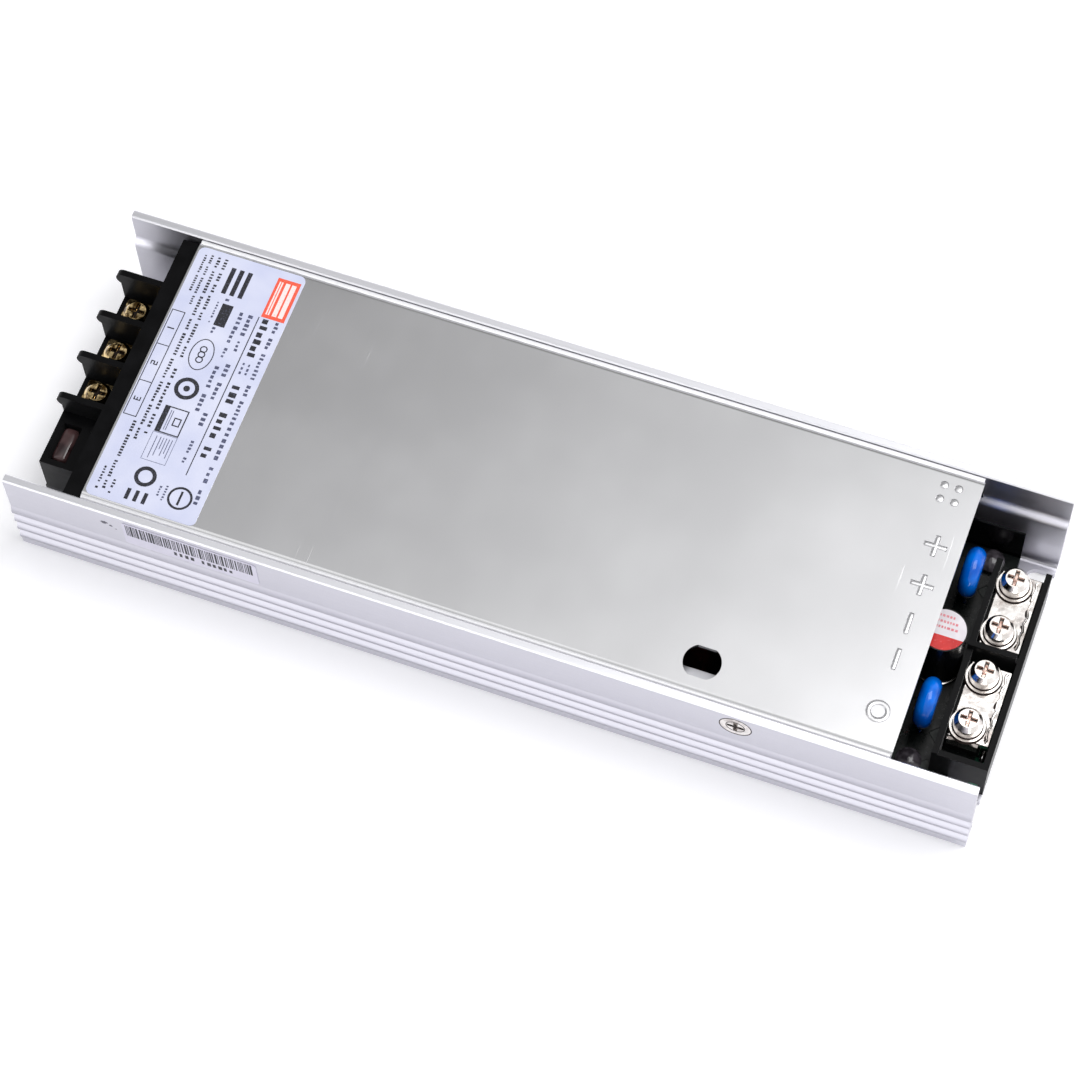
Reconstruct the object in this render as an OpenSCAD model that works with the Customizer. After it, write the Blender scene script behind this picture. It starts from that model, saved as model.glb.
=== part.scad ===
// Slim open frame AC to DC power supply: aluminium channel, folded steel cover,
// barrier input terminals at one end and screwed output bars at the other.
// Millimetres, +Z up. The origin is the centre of the underside.
// +X runs from the input end to the output end.

/* [Body] */
// Overall length of the channel
body_l = 178; // [178:1:240]
// Overall width over the ribs
body_w = 60; // [60:1:80]
// Overall height, underside to rims
body_h = 24; // [24:0.5:32]

/* [Channel] */
// Thickness of the floor
floor_t = 1.4; // [1.2:0.1:2.4]
// Thickness of the upper wall
rim_t = 1.6; // [1.2:0.1:2.2]
// Thickness of the lower wall, over the ribs
low_wall_t = 3; // [2.8:0.1:3.6]
// How far the plain band lies inside the rib crests
band_inset = 0.35; // [0.1:0.05:0.6]
// Number of ribs on each side
rib_count = 4; // [2:1:4]
// Distance from rib to rib
rib_pitch = 3.1; // [2.8:0.1:3.4]
// Depth of the grooves between ribs
rib_depth = 0.8; // [0.4:0.1:1]
// Underside to the lowest groove
rib_base = 2.2; // [1.6:0.1:3]
// Rim down to the inner ledge
ledge_drop = 6.2; // [5.8:0.1:8]
// Height of the curved ledge
ledge_h = 2.6; // [1.5:0.1:4]
// Width of the open mounting slots
slot_w = 4; // [3.2:0.1:4.5]
// Depth of the open mounting slots
slot_depth = 5; // [4.5:0.1:6]
// Sideways distance between slot centres
slot_span = 46.4; // [45:0.2:47]

/* [Cover] */
// Thickness of the cover sheet
cover_t = 0.8; // [0.5:0.1:1.2]
// How far the cover lies below the rims
cover_drop = 0.5; // [0.2:0.1:1]
// Gap between the cover and each wall
cover_gap = 0.15; // [0.1:0.05:0.4]
// Outer radius of the side bends
cover_bend_r = 1.4; // [1.3:0.1:2]
// Input end of the channel to the cover
cover_from_in = 14; // [14:0.5:20]
// Output end of the channel to the cover
cover_from_out = 15.6; // [15:0.1:20]
// Width of the inspection window
window_w = 6.7; // [5:0.1:8]
// Height of the inspection window
window_h = 5.8; // [4:0.1:6.5]
// Output end to the middle of the window
window_from_out = 51; // [46:1:60]
// Middle of the window to the near edge of the cover
window_from_edge = 6.2; // [5:0.1:8]
// Depth of the stamped marks
stamp_depth = 0.25; // [0.1:0.05:0.4]

/* [Cover screws] */
// Thread diameter
cover_screw_d = 3; // [2.5:0.1:3]
// Head diameter
cover_head_d = 5.6; // [5:0.1:6]
// Rim down to the screw
cover_screw_drop = 4.1; // [3.6:0.1:4.4]
// Output end to the screw
cover_screw_from_out = 42.3; // [38:0.1:60]

/* [Labels] */
// Length of the rating label along the channel
label_l = 20.8; // [15:0.1:24]
// Width of the rating label across the cover
label_w = 53.4; // [40:0.1:53.8]
// Thickness of both labels
label_t = 0.1; // [0.05:0.05:0.2]
// Length of the side sticker
sticker_l = 25.4; // [15:0.1:30]
// Height of the side sticker
sticker_h = 7.4; // [5:0.1:8]
// Input end to the side sticker
sticker_from_in = 22.6; // [18:0.1:40]

/* [Board] */
// Thickness of the circuit board
board_t = 1.6; // [1:0.1:2]
// Gap between the insulating film and the board
board_lift = 1.5; // [1.2:0.1:2.5]
// Gap between the board edge and the lower wall
board_side_gap = 2.4; // [2:0.1:3]
// Thickness of the insulating films
film_t = 0.3; // [0.2:0.05:0.5]
// Height of the film's upright flaps
flap_h = 12; // [8:0.5:14]
// Shank diameter of the board rivets
rivet_d = 3; // [2.5:0.1:3.2]
// Head diameter of the board rivets
rivet_head_d = 4.6; // [4.2:0.1:5]

/* [Input terminals] */
// Distance from terminal to terminal
in_pitch = 9; // [8:0.1:10.8]
// Number of terminals
in_count = 3; // [2:1:3]
// Thickness of the barrier fins
fin_t = 1.2; // [1:0.1:1.6]
// Underside to the top of the fins
fin_top_z = 19.3; // [17:0.1:20]
// Underside to the terminal seats
in_seat_z = 11.4; // [9:0.1:12]
// Width of the closed bay beside the terminals
in_bay_w = 11.6; // [10:0.1:13]
// Channel end to the front of the terminal block
in_front = 0.2; // [0:0.1:1]
// Thickness of the wall behind the terminals
in_back_t = 3; // [2:0.1:3.2]
// Screw head diameter
in_head_d = 5; // [4.4:0.1:5.4]

/* [Output terminals] */
// Distance between the two screws of a bar
out_pitch = 9.7; // [8:0.1:10.4]
// Length of each output bar across the channel
bar_l = 14.6; // [13.6:0.1:15]
// Sideways shift of the terminals
out_shift = 1.8; // [0:0.1:2]
// Width of each output bar
bar_w = 7; // [6.4:0.1:7.2]
// Thickness of each output bar
bar_t = 1.2; // [0.8:0.1:1.5]
// Underside to the top of the bars
bar_top_z = 10.4; // [10:0.1:11.5]
// Underside to the top of the outer wall
out_wall_top_z = 11.8; // [10:0.1:13]
// Thickness of the housing's walls
out_wall_t = 1.1; // [0.8:0.1:1.5]
// Underside to the top of the divider
divider_top_z = 13.4; // [12:0.1:16]
// Screw head diameter
out_head_d = 5; // [4.6:0.1:5.2]
// Flat washer diameter
out_washer_d = 6.3; // [5.8:0.1:6.3]

/* [Visible components] */
// Diameter of the cylindrical capacitors
can_d = 8.2; // [6.3:0.1:8.4]
// Height of the cylindrical capacitors
can_h = 14; // [10:0.5:16]
// Output end to the front capacitor
can_from_out = 14.4; // [14.3:0.1:15]
// Diameter of the disc capacitors
disc_d = 9.4; // [7:0.1:10]
// Thickness of the disc capacitors
disc_t = 3.4; // [2.5:0.1:4]
// Output end to the disc capacitors
disc_from_out = 13.5; // [12.6:0.1:14]

/* [Hidden] */
$fn = 48;
e = 0.01;

// Colours
c_anodised = "#c9c8d2";
c_tinned = "#c4c4c6";
c_black = "#17171a";
c_nickel = "#dcd8d4";
c_brass = "#c9a86a";
c_blue = "#1650c8";
c_green = "#1f5a45";
c_copper = "#b4662d";
c_ferrite = "#2d2c30";

// Levels and half widths that other pieces take their places from
half_l = body_l / 2;
half_w = body_w / 2;
band_y = half_w - band_inset;
rim_y = band_y - rim_t;
low_y = half_w - low_wall_t;
rib_top_z = rib_base + rib_count * rib_pitch;
ledge_top_z = body_h - ledge_drop;
ledge_low_z = ledge_top_z - ledge_h;
cover_top_z = body_h - cover_drop;
cover_under_z = cover_top_z - cover_t;
cover_y = rim_y - cover_gap;
cover_x0 = -half_l + cover_from_in;
cover_x1 = half_l - cover_from_out;
film_top_z = floor_t + film_t;
board_z = film_top_z + board_lift;
board_top_z = board_z + board_t;
roof_z = cover_under_z - film_t;
clear_h = roof_z - board_top_z;
lead_end_z = film_top_z + 0.5;

// Sideways places of the output terminals
divider_t = 1;
bar_mid = bar_l / 2 + divider_t / 2 + 1.5;
out_half_w = out_shift + bar_mid + bar_l / 2 + 0.2 + out_wall_t;

// Small parts of the channel
foot_r = 1;
rim_bevel = 0.25;
base_bevel = 0.6;
base_strip_inset = 0.3;
base_y = half_w - base_strip_inset;
rib_slope_h = 1.5;
rib_crest_h = 0.75;
rib_under_h = 0.45;
slot_x = half_l - slot_depth + slot_w / 2;

// Cover details
in_back_x1 = cover_x0 - 0.6;
flange_low_z = ledge_top_z + 0.15;
cover_corner_r = 1.2;
window_x = half_l - window_from_out;
window_y = -cover_y + window_from_edge;
stamp_from_edge = 4.6;
stamp_line = 0.9;
stamp_size = 4.2;
stamp_ys = [12.5, 4.6, -3.1, -10.2];
dot_d = 1.5;

// Cover screws
cover_screw_x = half_l - cover_screw_from_out;
cover_screw_z = body_h - cover_screw_drop;
cover_head_h = (cover_head_d - cover_screw_d) / 2;
cover_screw_l = 5;
screw_fit = 0.1;
recess_d = 1.1;

// Board outline and rivets
board_y = low_y - board_side_gap;
board_step = 0.4;
board_in_x = -half_l + in_front + 0.5;
board_in_step_x = in_back_x1 + 0.4;
board_out_step_x = half_l - slot_depth - 1.6;
rivet_out_x = half_l - 11.2;
rivet_in_x = -half_l + 17.5;
rivet_y = 22;
rivet_head_h = 2.2;
rivet_fit = 0.1;
rivet_low_z = 0.3;
spacer_d = 5.4;
RIVETS = [[rivet_in_x, -rivet_y], [rivet_in_x, rivet_y],
    [half_l - 11.5 - rivet_head_d / 2, -19.6], [rivet_out_x, rivet_y]];

// Film flaps at both ends
flap_gap = 0.3;
flap_y = board_y + flap_gap;
flap_out_x1 = board_out_step_x + 0.4;
flap_out_far_x0 = flap_out_x1 - 16;
flap_out_near_x0 = flap_out_x1 - 11;
flap_in_x0 = board_in_step_x + 0.4;
flap_in_x1 = flap_in_x0 + 9;

// Input terminal block
in_span = in_count * in_pitch;
in_width = in_span + in_bay_w + fin_t / 2;
in_far_y = in_width / 2;
in_near_y = -in_width / 2;
in_x0 = -half_l + in_front;
in_back_x0 = in_back_x1 - in_back_t;
in_back_top_z = cover_under_z - 0.4;
in_back_low_y = low_y - 0.3;
in_back_high_y = rim_y - 0.4;
fin_nose_r = 1.6;
in_seat_x0 = in_x0 + 0.8;
in_screw_x = -half_l + 5.5;
in_plate_t = 0.8;
in_plate_w = 6.4;
in_clamp_t = 0.8;
in_clamp_w = 6;
in_plate_x0 = in_screw_x - in_clamp_w / 2 - 0.2;
in_plate_x1 = in_back_x0 - 0.4;
in_pin_x = in_back_x0 - 1.7;
in_pin_t = 0.9;
in_pin_w = 1.6;
in_screw_d = 3;
in_head_h = 2;
in_thread_l = 6;
in_hole_fit = 0.15;
in_head_z = in_seat_z + in_plate_t + in_clamp_t;
IN_YS = [for (i = [0 : in_count - 1]) in_far_y - fin_t / 2 - (i + 0.5) * in_pitch];
FIN_YS = [for (i = [0 : in_count]) in_far_y - fin_t / 2 - i * in_pitch];

// Closed bay with the line fuse
bay_top_z = in_seat_z + 2.8;
bay_y0 = in_near_y;
bay_y1 = in_near_y + in_bay_w - fin_t / 2;
bay_wall_t = 1.1;
fuse_x = 3;
fuse_w = 7;
fuse_gap = 0.3;
fuse_x0 = in_seat_x0 + bay_wall_t + fuse_gap;
fuse_y0 = bay_y0 + bay_wall_t + fuse_gap;
fuse_top_z = bay_top_z - 0.3;

// Output terminal block
out_x0 = half_l - 10.1;
out_back_t = out_wall_t;
out_back_top_z = out_wall_top_z + 0.4;
out_far_top_z = 8;
bar_x1 = half_l - out_wall_t - 0.3;
bar_x0 = bar_x1 - bar_w;
bar_y0 = bar_mid - bar_l / 2;
bar_y1 = bar_mid + bar_l / 2;
bar_z = bar_top_z - bar_t;
leg_t = 0.8;
leg_w = 1.8;
leg_gap = 0.4;
pedestal_x1 = bar_x1 - leg_t - leg_gap;
out_screw_x = (out_x0 + out_back_t + pedestal_x1) / 2;
out_screw_d = 3;
out_nut_w = 5.5;
out_nut_h = 2;
out_fit = 0.15;
out_flat_t = 0.6;
out_spring_t = 0.9;
out_spring_d = 5.2;
out_head_h = 2.1;
out_head_z = bar_top_z + out_flat_t + out_spring_t;
out_thread_low_z = board_top_z + 1.2;
housing_lip_z = 0.15;
lip_gap = 0.1;
OUT_YS = [for (s = [-1, 1]) for (t = [-1, 1]) out_shift + s * bar_mid + t * out_pitch / 2];
LEG_YS = [bar_y0 + 1.6, bar_mid, bar_y1 - 1.6];

// Disc and cylindrical capacitors
can_x = half_l - can_from_out;
can_row_x = half_l - can_from_out - 11.5;
can_row_y = [13, 2.5, -8];
disc_x = half_l - disc_from_out;
disc_ys = [15.6, -10.9];
disc_lift = 2.2;
disc_lead_gap = 5;
lead_d = 0.7;
lead_fit = 0.15;
lead_hole_d = lead_d + 2 * lead_fit;

// Input filter
filter_x = -half_l + 21;
varistor_y = 11;
thermistor_y = -9;
radial_d = 9;
radial_t = 4;
box_x0 = -half_l + 26.5;
box_l = 17.5;
box_w = 9;
box_y = 12.5;
line_core_x = -half_l + 37;
line_core_y = -6.5;
line_core_d = 18;
line_core_bore = 8.4;
line_core_h = 6;
line_wire_d = 1.2;

// Boost choke
boost_x = -half_l + 60;
boost_core_d = 22;
boost_core_bore = 11;
boost_core_h = clear_h - 4.6;
boost_wire_d = 1.1;
turn_gap = 0.15;

// Bulk capacitors lie side by side on the board
bulk_x0 = -half_l + 75;
bulk_l = 34;
bulk_gap = 0.4;
bulk_d = clear_h - 2 * bulk_gap;
bulk_y = bulk_d / 2 + bulk_gap;

// Transformer
xf_x0 = bulk_x0 + bulk_l + 5;
xf_l = 24;
xf_w = 26;
xf_y = 3;
xf_gap = 0.5;
xf_h = clear_h - 2 * xf_gap;
xf_yoke = 4;
xf_leg_d = 9;
xf_bobbin_t = 0.8;
xf_fit = 0.2;
xf_winding_d = 19;
xf_lift = 0;

// Resonant capacitor and upright control board
res_x0 = xf_x0 + 1;
res_l = 11;
res_w = 4.4;
res_h = 10;
res_y = xf_y - xf_w / 2 - res_w / 2 - 1.2;
card_x = half_l - 34.5;
card_t = 1;
card_w = 27;
card_y = 3;
card_h = 13.5;

// Packages clamped to the walls through thermal pads
pad_t = 0.3;
package_t = 4.2;
package_h = 9.2;
package_w = 10;
package_z = board_top_z + 0.3;
package_lead_w = 1;
package_lead_t = 0.6;
package_lead_gap = 2.54;
package_lead_in = 1.4;
bridge_w = 19;
pad_y = low_y - pad_t;
package_y = pad_y - package_t;
clamp_t = 1.6;
clamp_h = 11.4;
clamp_z = package_z + 1.6;
clamp_end = 6;
clamp_screw_d = 2.5;
clamp_head_d = 4.4;
clamp_head_h = 1.7;
clamp_thread_in = 1.8;
clamp_screw_z = clamp_z + 3;
row_gap = 1;
far_row_x = -half_l + 44;
switch_row_x = bulk_x0 + 2;
rectifier_row_x = window_x + 2;
far_widths = [bridge_w, package_w, package_w];
pair_widths = [package_w, package_w];

// ---------------------------------------------------------------- helpers

// Points of an arc round [cx, cy], from angle a0 to a1, in n steps
function arc(cx, cy, r, a0, a1, n) =
    [for (i = [0 : n]) let (a = a0 + (a1 - a0) * i / n) [cx + r * cos(a), cy + r * sin(a)]];

// Sum of the first n values of a list
function sum_to(v, n) = n <= 0 ? 0 : v[n - 1] + sum_to(v, n - 1);

// Length of a row of packages
function row_length(widths) = sum_to(widths, len(widths)) + (len(widths) - 1) * row_gap;

// Start of package i in a row
function row_start(x0, widths, i) = x0 + sum_to(widths, i) + i * row_gap;

// Lays a profile drawn in Y and Z along X, from x0 to x1
module along_x(x0, x1) {
    translate([x0, 0, 0])
        rotate([90, 0, 90])
            linear_extrude(x1 - x0)
                children();
}

// Draws its children on both sides of the channel
module both_sides() {
    children();
    mirror([0, 1, 0])
        children();
}

// Rectangle with round corners, from [0, 0]
module round_rect(w, h, r) {
    translate([r, 0])
        square([w - 2 * r, h]);
    translate([0, r])
        square([w, h - 2 * r]);
    for (x = [r, w - r])
        for (y = [r, h - r])
            translate([x, y])
                circle(r);
}

// Block with round upright edges, from its lowest corner
module round_block(size, r) {
    linear_extrude(size[2])
        round_rect(size[0], size[1], r);
}

// Round lead from height z down through the board
module lead(x, y, z) {
    translate([x, y, lead_end_z])
        cylinder(h = z - lead_end_z, d = lead_d);
}

// Cross recess cut into a screw head whose top is at z = 0
module cross_recess(d, depth) {
    for (a = [0, 90])
        rotate([0, 0, a])
            translate([-d / 2, -d / 8, -depth])
                cube([d, d / 4, depth + e]);
}

// Pan head screw: underside of the head at z = 0, shank downwards
module pan_screw(head_d, head_h, shank_d, shank_l) {
    dome_h = head_h * 0.45;
    difference() {
        union() {
            cylinder(h = head_h - dome_h, d = head_d);
            translate([0, 0, head_h - dome_h])
                cylinder(h = dome_h, d1 = head_d, d2 = head_d * 0.72);
            translate([0, 0, -shank_l])
                cylinder(h = shank_l + e, d = shank_d);
        }
        translate([0, 0, head_h])
            cross_recess(head_d * 0.62, recess_d);
    }
}

// ---------------------------------------------------------------- channel and cover

// One wall, from the floor up, on the +Y side
function rib_points() = [for (i = [0 : rib_count - 1]) let (z = rib_top_z - i * rib_pitch)
    for (p = [[i == 0 ? band_y : half_w - rib_depth, z],
            [half_w, z - rib_slope_h],
            [half_w, z - rib_slope_h - rib_crest_h],
            [half_w - rib_depth, z - rib_slope_h - rib_crest_h - rib_under_h]]) p];

function ledge_points(n) = [for (i = [0 : n]) let (t = i / n)
    [low_y + (rim_y - low_y) * (1 - cos(180 * t)) / 2, ledge_low_z + ledge_h * t]];

function wall_points() = concat(
    [[base_y - base_bevel, 0], [base_y, base_bevel], [base_y, rib_base]],
    [for (i = [4 * rib_count - 1 : -1 : 0]) rib_points()[i]],
    [[band_y, body_h - rim_bevel], [band_y - rim_bevel, body_h],
        [rim_y + rim_bevel, body_h], [rim_y, body_h - rim_bevel]],
    [for (i = [8 : -1 : 0]) ledge_points(8)[i]],
    arc(low_y - foot_r, floor_t + foot_r, foot_r, 0, -90, 4));

// Whole section of the channel, both walls and the floor
module channel_profile() {
    right = wall_points();
    polygon(concat(right, [for (i = [len(right) - 1 : -1 : 0]) [-right[i][0], right[i][1]]]));
}

// Open ended slot in the floor for a fixing screw
module mounting_slot() {
    translate([slot_x, slot_span / 2, -e])
        cylinder(h = floor_t + 2 * e, d = slot_w);
    translate([slot_x, slot_span / 2 - slot_w / 2, -e])
        cube([half_l - slot_x + e, slot_w, floor_t + 2 * e]);
}

// Countersunk hole through the upper wall
module countersink() {
    translate([cover_screw_x, 0, cover_screw_z])
        rotate([-90, 0, 0]) {
            cylinder(h = band_y + e, d = cover_screw_d + 2 * screw_fit);
            translate([0, 0, band_y - cover_head_h - screw_fit])
                cylinder(h = cover_head_h + screw_fit + e,
                    d1 = cover_screw_d, d2 = cover_head_d + 2 * screw_fit + 2 * e);
        }
}

// Blind tapped holes for the clamp screws, in the lower wall
module clamp_tap(x) {
    translate([x, low_y - e, clamp_screw_z])
        rotate([-90, 0, 0])
            cylinder(h = clamp_thread_in + e, d = clamp_screw_d);
}

module chassis() {
    color(c_anodised)
        difference() {
            along_x(-half_l, half_l)
                channel_profile();
            both_sides() {
                mounting_slot();
                mirror([1, 0, 0])
                    mounting_slot();
                countersink();
            }
            for (p = RIVETS)
                translate([p[0], p[1], -e])
                    cylinder(h = floor_t + 2 * e, d = rivet_d + 2 * rivet_fit);
            translate([half_l - out_wall_t - lip_gap, -out_half_w - lip_gap, -e])
                cube([out_wall_t + lip_gap + e, 2 * (out_half_w + lip_gap), floor_t + 2 * e]);
            for (x = clamp_screws_x(far_row_x, far_widths))
                clamp_tap(x);
            mirror([0, 1, 0])
                for (x = concat(clamp_screws_x(switch_row_x, pair_widths),
                        clamp_screws_x(rectifier_row_x, pair_widths)))
                    clamp_tap(x);
        }
}

// Stamped plus or minus mark, centred
module stamp_mark(plus) {
    translate([-stamp_line / 2, -stamp_size / 2])
        square([stamp_line, stamp_size]);
    if (plus)
        translate([-stamp_size / 2, -stamp_line / 2])
            square([stamp_size, stamp_line]);
}

module cover_section() {
    side_h = cover_top_z - flange_low_z;
    difference() {
        translate([-cover_y, cover_top_z - 2 * side_h])
            round_rect(2 * cover_y, 2 * side_h, cover_bend_r);
        translate([-cover_y + cover_t, cover_under_z - 2 * side_h])
            round_rect(2 * (cover_y - cover_t), 2 * side_h, cover_bend_r - cover_t);
        translate([-cover_y - 1, cover_top_z - 2 * side_h - 1])
            square([2 * cover_y + 2, side_h + 1]);
    }
}

module window_cut(z, h) {
    translate([window_x, window_y, z])
        intersection() {
            cylinder(h = h, d = window_w);
            translate([-window_w / 2, -window_h / 2, 0])
                cube([window_w, window_h, h]);
        }
}

module cover() {
    stamp_x = cover_x1 - stamp_from_edge;
    color(c_tinned)
        difference() {
            along_x(cover_x0, cover_x1)
                cover_section();
            window_cut(cover_under_z - e, cover_t + 2 * e);
            both_sides()
                translate([cover_screw_x, cover_y - cover_t - e, cover_screw_z])
                    rotate([-90, 0, 0])
                        cylinder(h = cover_t + 2 * e, d = cover_screw_d + 2 * screw_fit);
            for (i = [0 : 3])
                translate([stamp_x, stamp_ys[i], cover_top_z - stamp_depth])
                    linear_extrude(stamp_depth + e)
                        stamp_mark(i < 2);
            for (dx = [-2, 0.6])
                for (dy = [21.6, 24.4])
                    translate([stamp_x + dx, dy, cover_top_z - stamp_depth])
                        cylinder(h = stamp_depth + e, d = dot_d);
            translate([stamp_x, -20.4, cover_top_z - stamp_depth])
                difference() {
                    cylinder(h = stamp_depth + e, d = stamp_size);
                    cylinder(h = stamp_depth + e, d = stamp_size - 2 * stamp_line);
                }
        }
}

module cover_screws() {
    tip_y = band_y - cover_screw_l;
    color(c_nickel)
        both_sides()
            translate([cover_screw_x, 0, cover_screw_z])
                rotate([-90, 0, 0])
                    difference() {
                        union() {
                            translate([0, 0, tip_y])
                                cylinder(h = cover_screw_l - cover_head_h + e, d = cover_screw_d);
                            translate([0, 0, band_y - cover_head_h])
                                cylinder(h = cover_head_h, d1 = cover_screw_d, d2 = cover_head_d);
                        }
                        translate([0, 0, band_y])
                            cross_recess(cover_head_d * 0.55, recess_d);
                    }
}

module rating_label() {
    color("#d8dcf0")
        translate([cover_x0 + 0.4, -label_w / 2, cover_top_z])
            round_block([label_l, label_w, label_t], 1.2);
}

module serial_sticker() {
    low_z = body_h - 1.4 - sticker_h;
    color("#d5d3de")
        translate([-half_l + sticker_from_in, -band_y, low_z])
            rotate([90, 0, 0])
                round_block([sticker_l, sticker_h, label_t], 0.6);
}

// ---------------------------------------------------------------- films, board and rivets

module top_insulator() {
    side_y = cover_y - cover_t - cover_bend_r;
    color(c_black)
        difference() {
            translate([cover_x0 + 1, -side_y, roof_z])
                cube([cover_x1 - cover_x0 - 2, 2 * side_y, film_t]);
            window_cut(roof_z - e, film_t + 2 * e);
        }
}

// Outline of the board, grown sideways by extra
module board_outline(extra) {
    in_y = in_width / 2;
    out_y = out_half_w - board_step;
    translate([board_in_step_x, -board_y - extra])
        square([board_out_step_x - board_in_step_x, 2 * (board_y + extra)]);
    translate([board_in_x, -in_y])
        square([half_l, 2 * in_y]);
    translate([0, -out_y])
        square([half_l - out_wall_t - lip_gap, 2 * out_y]);
}

module base_insulator() {
    color(c_black)
        difference() {
            union() {
                translate([0, 0, floor_t])
                    linear_extrude(film_t)
                        board_outline(flap_gap + film_t);
                translate([flap_out_far_x0, flap_y, floor_t])
                    cube([board_out_step_x - flap_out_far_x0, film_t, flap_h]);
                translate([flap_out_near_x0, -flap_y - film_t, floor_t])
                    cube([board_out_step_x - flap_out_near_x0, film_t, flap_h]);
                both_sides()
                    translate([board_in_step_x, flap_y, floor_t])
                        cube([flap_in_x1 - board_in_step_x, film_t, flap_h]);
            }
            for (p = RIVETS)
                translate([p[0], p[1], floor_t - e])
                    cylinder(h = film_t + 2 * e, d = rivet_d + 2 * rivet_fit);
        }
}

// Holes that the leads of one row of packages need
function package_leads(x, w, n) = [for (i = [0 : n - 1])
    [x + w / 2 + (i - (n - 1) / 2) * (n == 4 ? 1.9 : 1) * package_lead_gap,
        package_y + package_lead_in]];

function far_leads() = concat(
    package_leads(row_start(far_row_x, far_widths, 0), bridge_w, 4),
    package_leads(row_start(far_row_x, far_widths, 1), package_w, 3),
    package_leads(row_start(far_row_x, far_widths, 2), package_w, 2));

function near_leads() = [for (x0 = [switch_row_x, rectifier_row_x])
    for (i = [0 : 1])
        for (p = package_leads(row_start(x0, pair_widths, i), package_w, 3)) [p[0], -p[1]]];

// Round leads: [x, y] of each hole
function round_leads() = concat(
    [for (y = disc_ys) for (s = [-1, 1]) [disc_x, y + s * disc_lead_gap / 2]],
    [for (c = can_places()) for (s = [-1, 1]) [c[0], c[1] + s * 1.75]],
    [for (y = [varistor_y, thermistor_y]) for (s = [-1, 1]) [filter_x, y + s * 2.5]],
    [for (s = [-1, 1]) [box_x0 + box_l / 2 + s * 7.5, box_y]],
    [for (s = [-1, 1]) [res_x0 + res_l / 2 + s * 4, res_y]],
    [for (s = [-1, 1]) [fuse_x0 + fuse_x / 2, fuse_y0 + fuse_w / 2 + s * 2.5]]);

function can_places() = concat([[can_x, 0]], [for (y = can_row_y) [can_row_x, y]]);

module circuit_board() {
    color(c_green)
        difference() {
            translate([0, 0, board_z])
                linear_extrude(board_t)
                    board_outline(0);
            for (p = RIVETS)
                translate([p[0], p[1], board_z - e])
                    cylinder(h = board_t + 2 * e, d = rivet_d + 2 * rivet_fit);
            for (p = round_leads())
                translate([p[0], p[1], board_z - e])
                    cylinder(h = board_t + 2 * e, d = lead_hole_d);
            for (p = concat(far_leads(), near_leads()))
                translate([p[0] - package_lead_w / 2 - lead_fit,
                        p[1] - package_lead_t / 2 - lead_fit, board_z - e])
                    cube([package_lead_w + 2 * lead_fit, package_lead_t + 2 * lead_fit,
                        board_t + 2 * e]);
            for (s = [-1, 1])
                for (y = LEG_YS)
                    translate([bar_x1 - leg_t - lead_fit,
                            out_shift + s * bar_mid + y - bar_mid - leg_w / 2 - lead_fit, board_z - e])
                        cube([leg_t + 2 * lead_fit, leg_w + 2 * lead_fit, board_t + 2 * e]);
            for (y = IN_YS)
                translate([in_pin_x - lead_fit, y - in_pin_w / 2 - lead_fit, board_z - e])
                    cube([in_pin_t + 2 * lead_fit, in_pin_w + 2 * lead_fit, board_t + 2 * e]);
        }
}

module board_spacers() {
    color("#e6e2d6")
        for (p = RIVETS)
            translate([p[0], p[1], film_top_z])
                difference() {
                    cylinder(h = board_lift, d = spacer_d);
                    translate([0, 0, -e])
                        cylinder(h = board_lift + 2 * e, d = rivet_d + 2 * rivet_fit);
                }
}

module board_rivets() {
    color("#3a3a40")
        for (p = RIVETS)
            translate([p[0], p[1], 0]) {
                translate([0, 0, rivet_low_z])
                    cylinder(h = board_top_z - rivet_low_z + e, d = rivet_d);
                translate([0, 0, board_top_z])
                    intersection() {
                        cylinder(h = rivet_head_h, d = rivet_head_d);
                        translate([0, 0, rivet_head_h - rivet_head_d * 0.62])
                            sphere(d = rivet_head_d * 1.24);
                    }
            }
}

// ---------------------------------------------------------------- input end

// Barrier fin seen from the side, with a round nose
module fin_profile() {
    translate([in_x0 + fin_nose_r, board_top_z])
        square([in_back_x0 - in_x0 - fin_nose_r + e, fin_top_z - board_top_z]);
    translate([in_seat_x0, board_top_z])
        square([fin_nose_r + e, fin_top_z - fin_nose_r - board_top_z]);
    translate([in_x0 + fin_nose_r, fin_top_z - fin_nose_r])
        circle(fin_nose_r);
}

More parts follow.
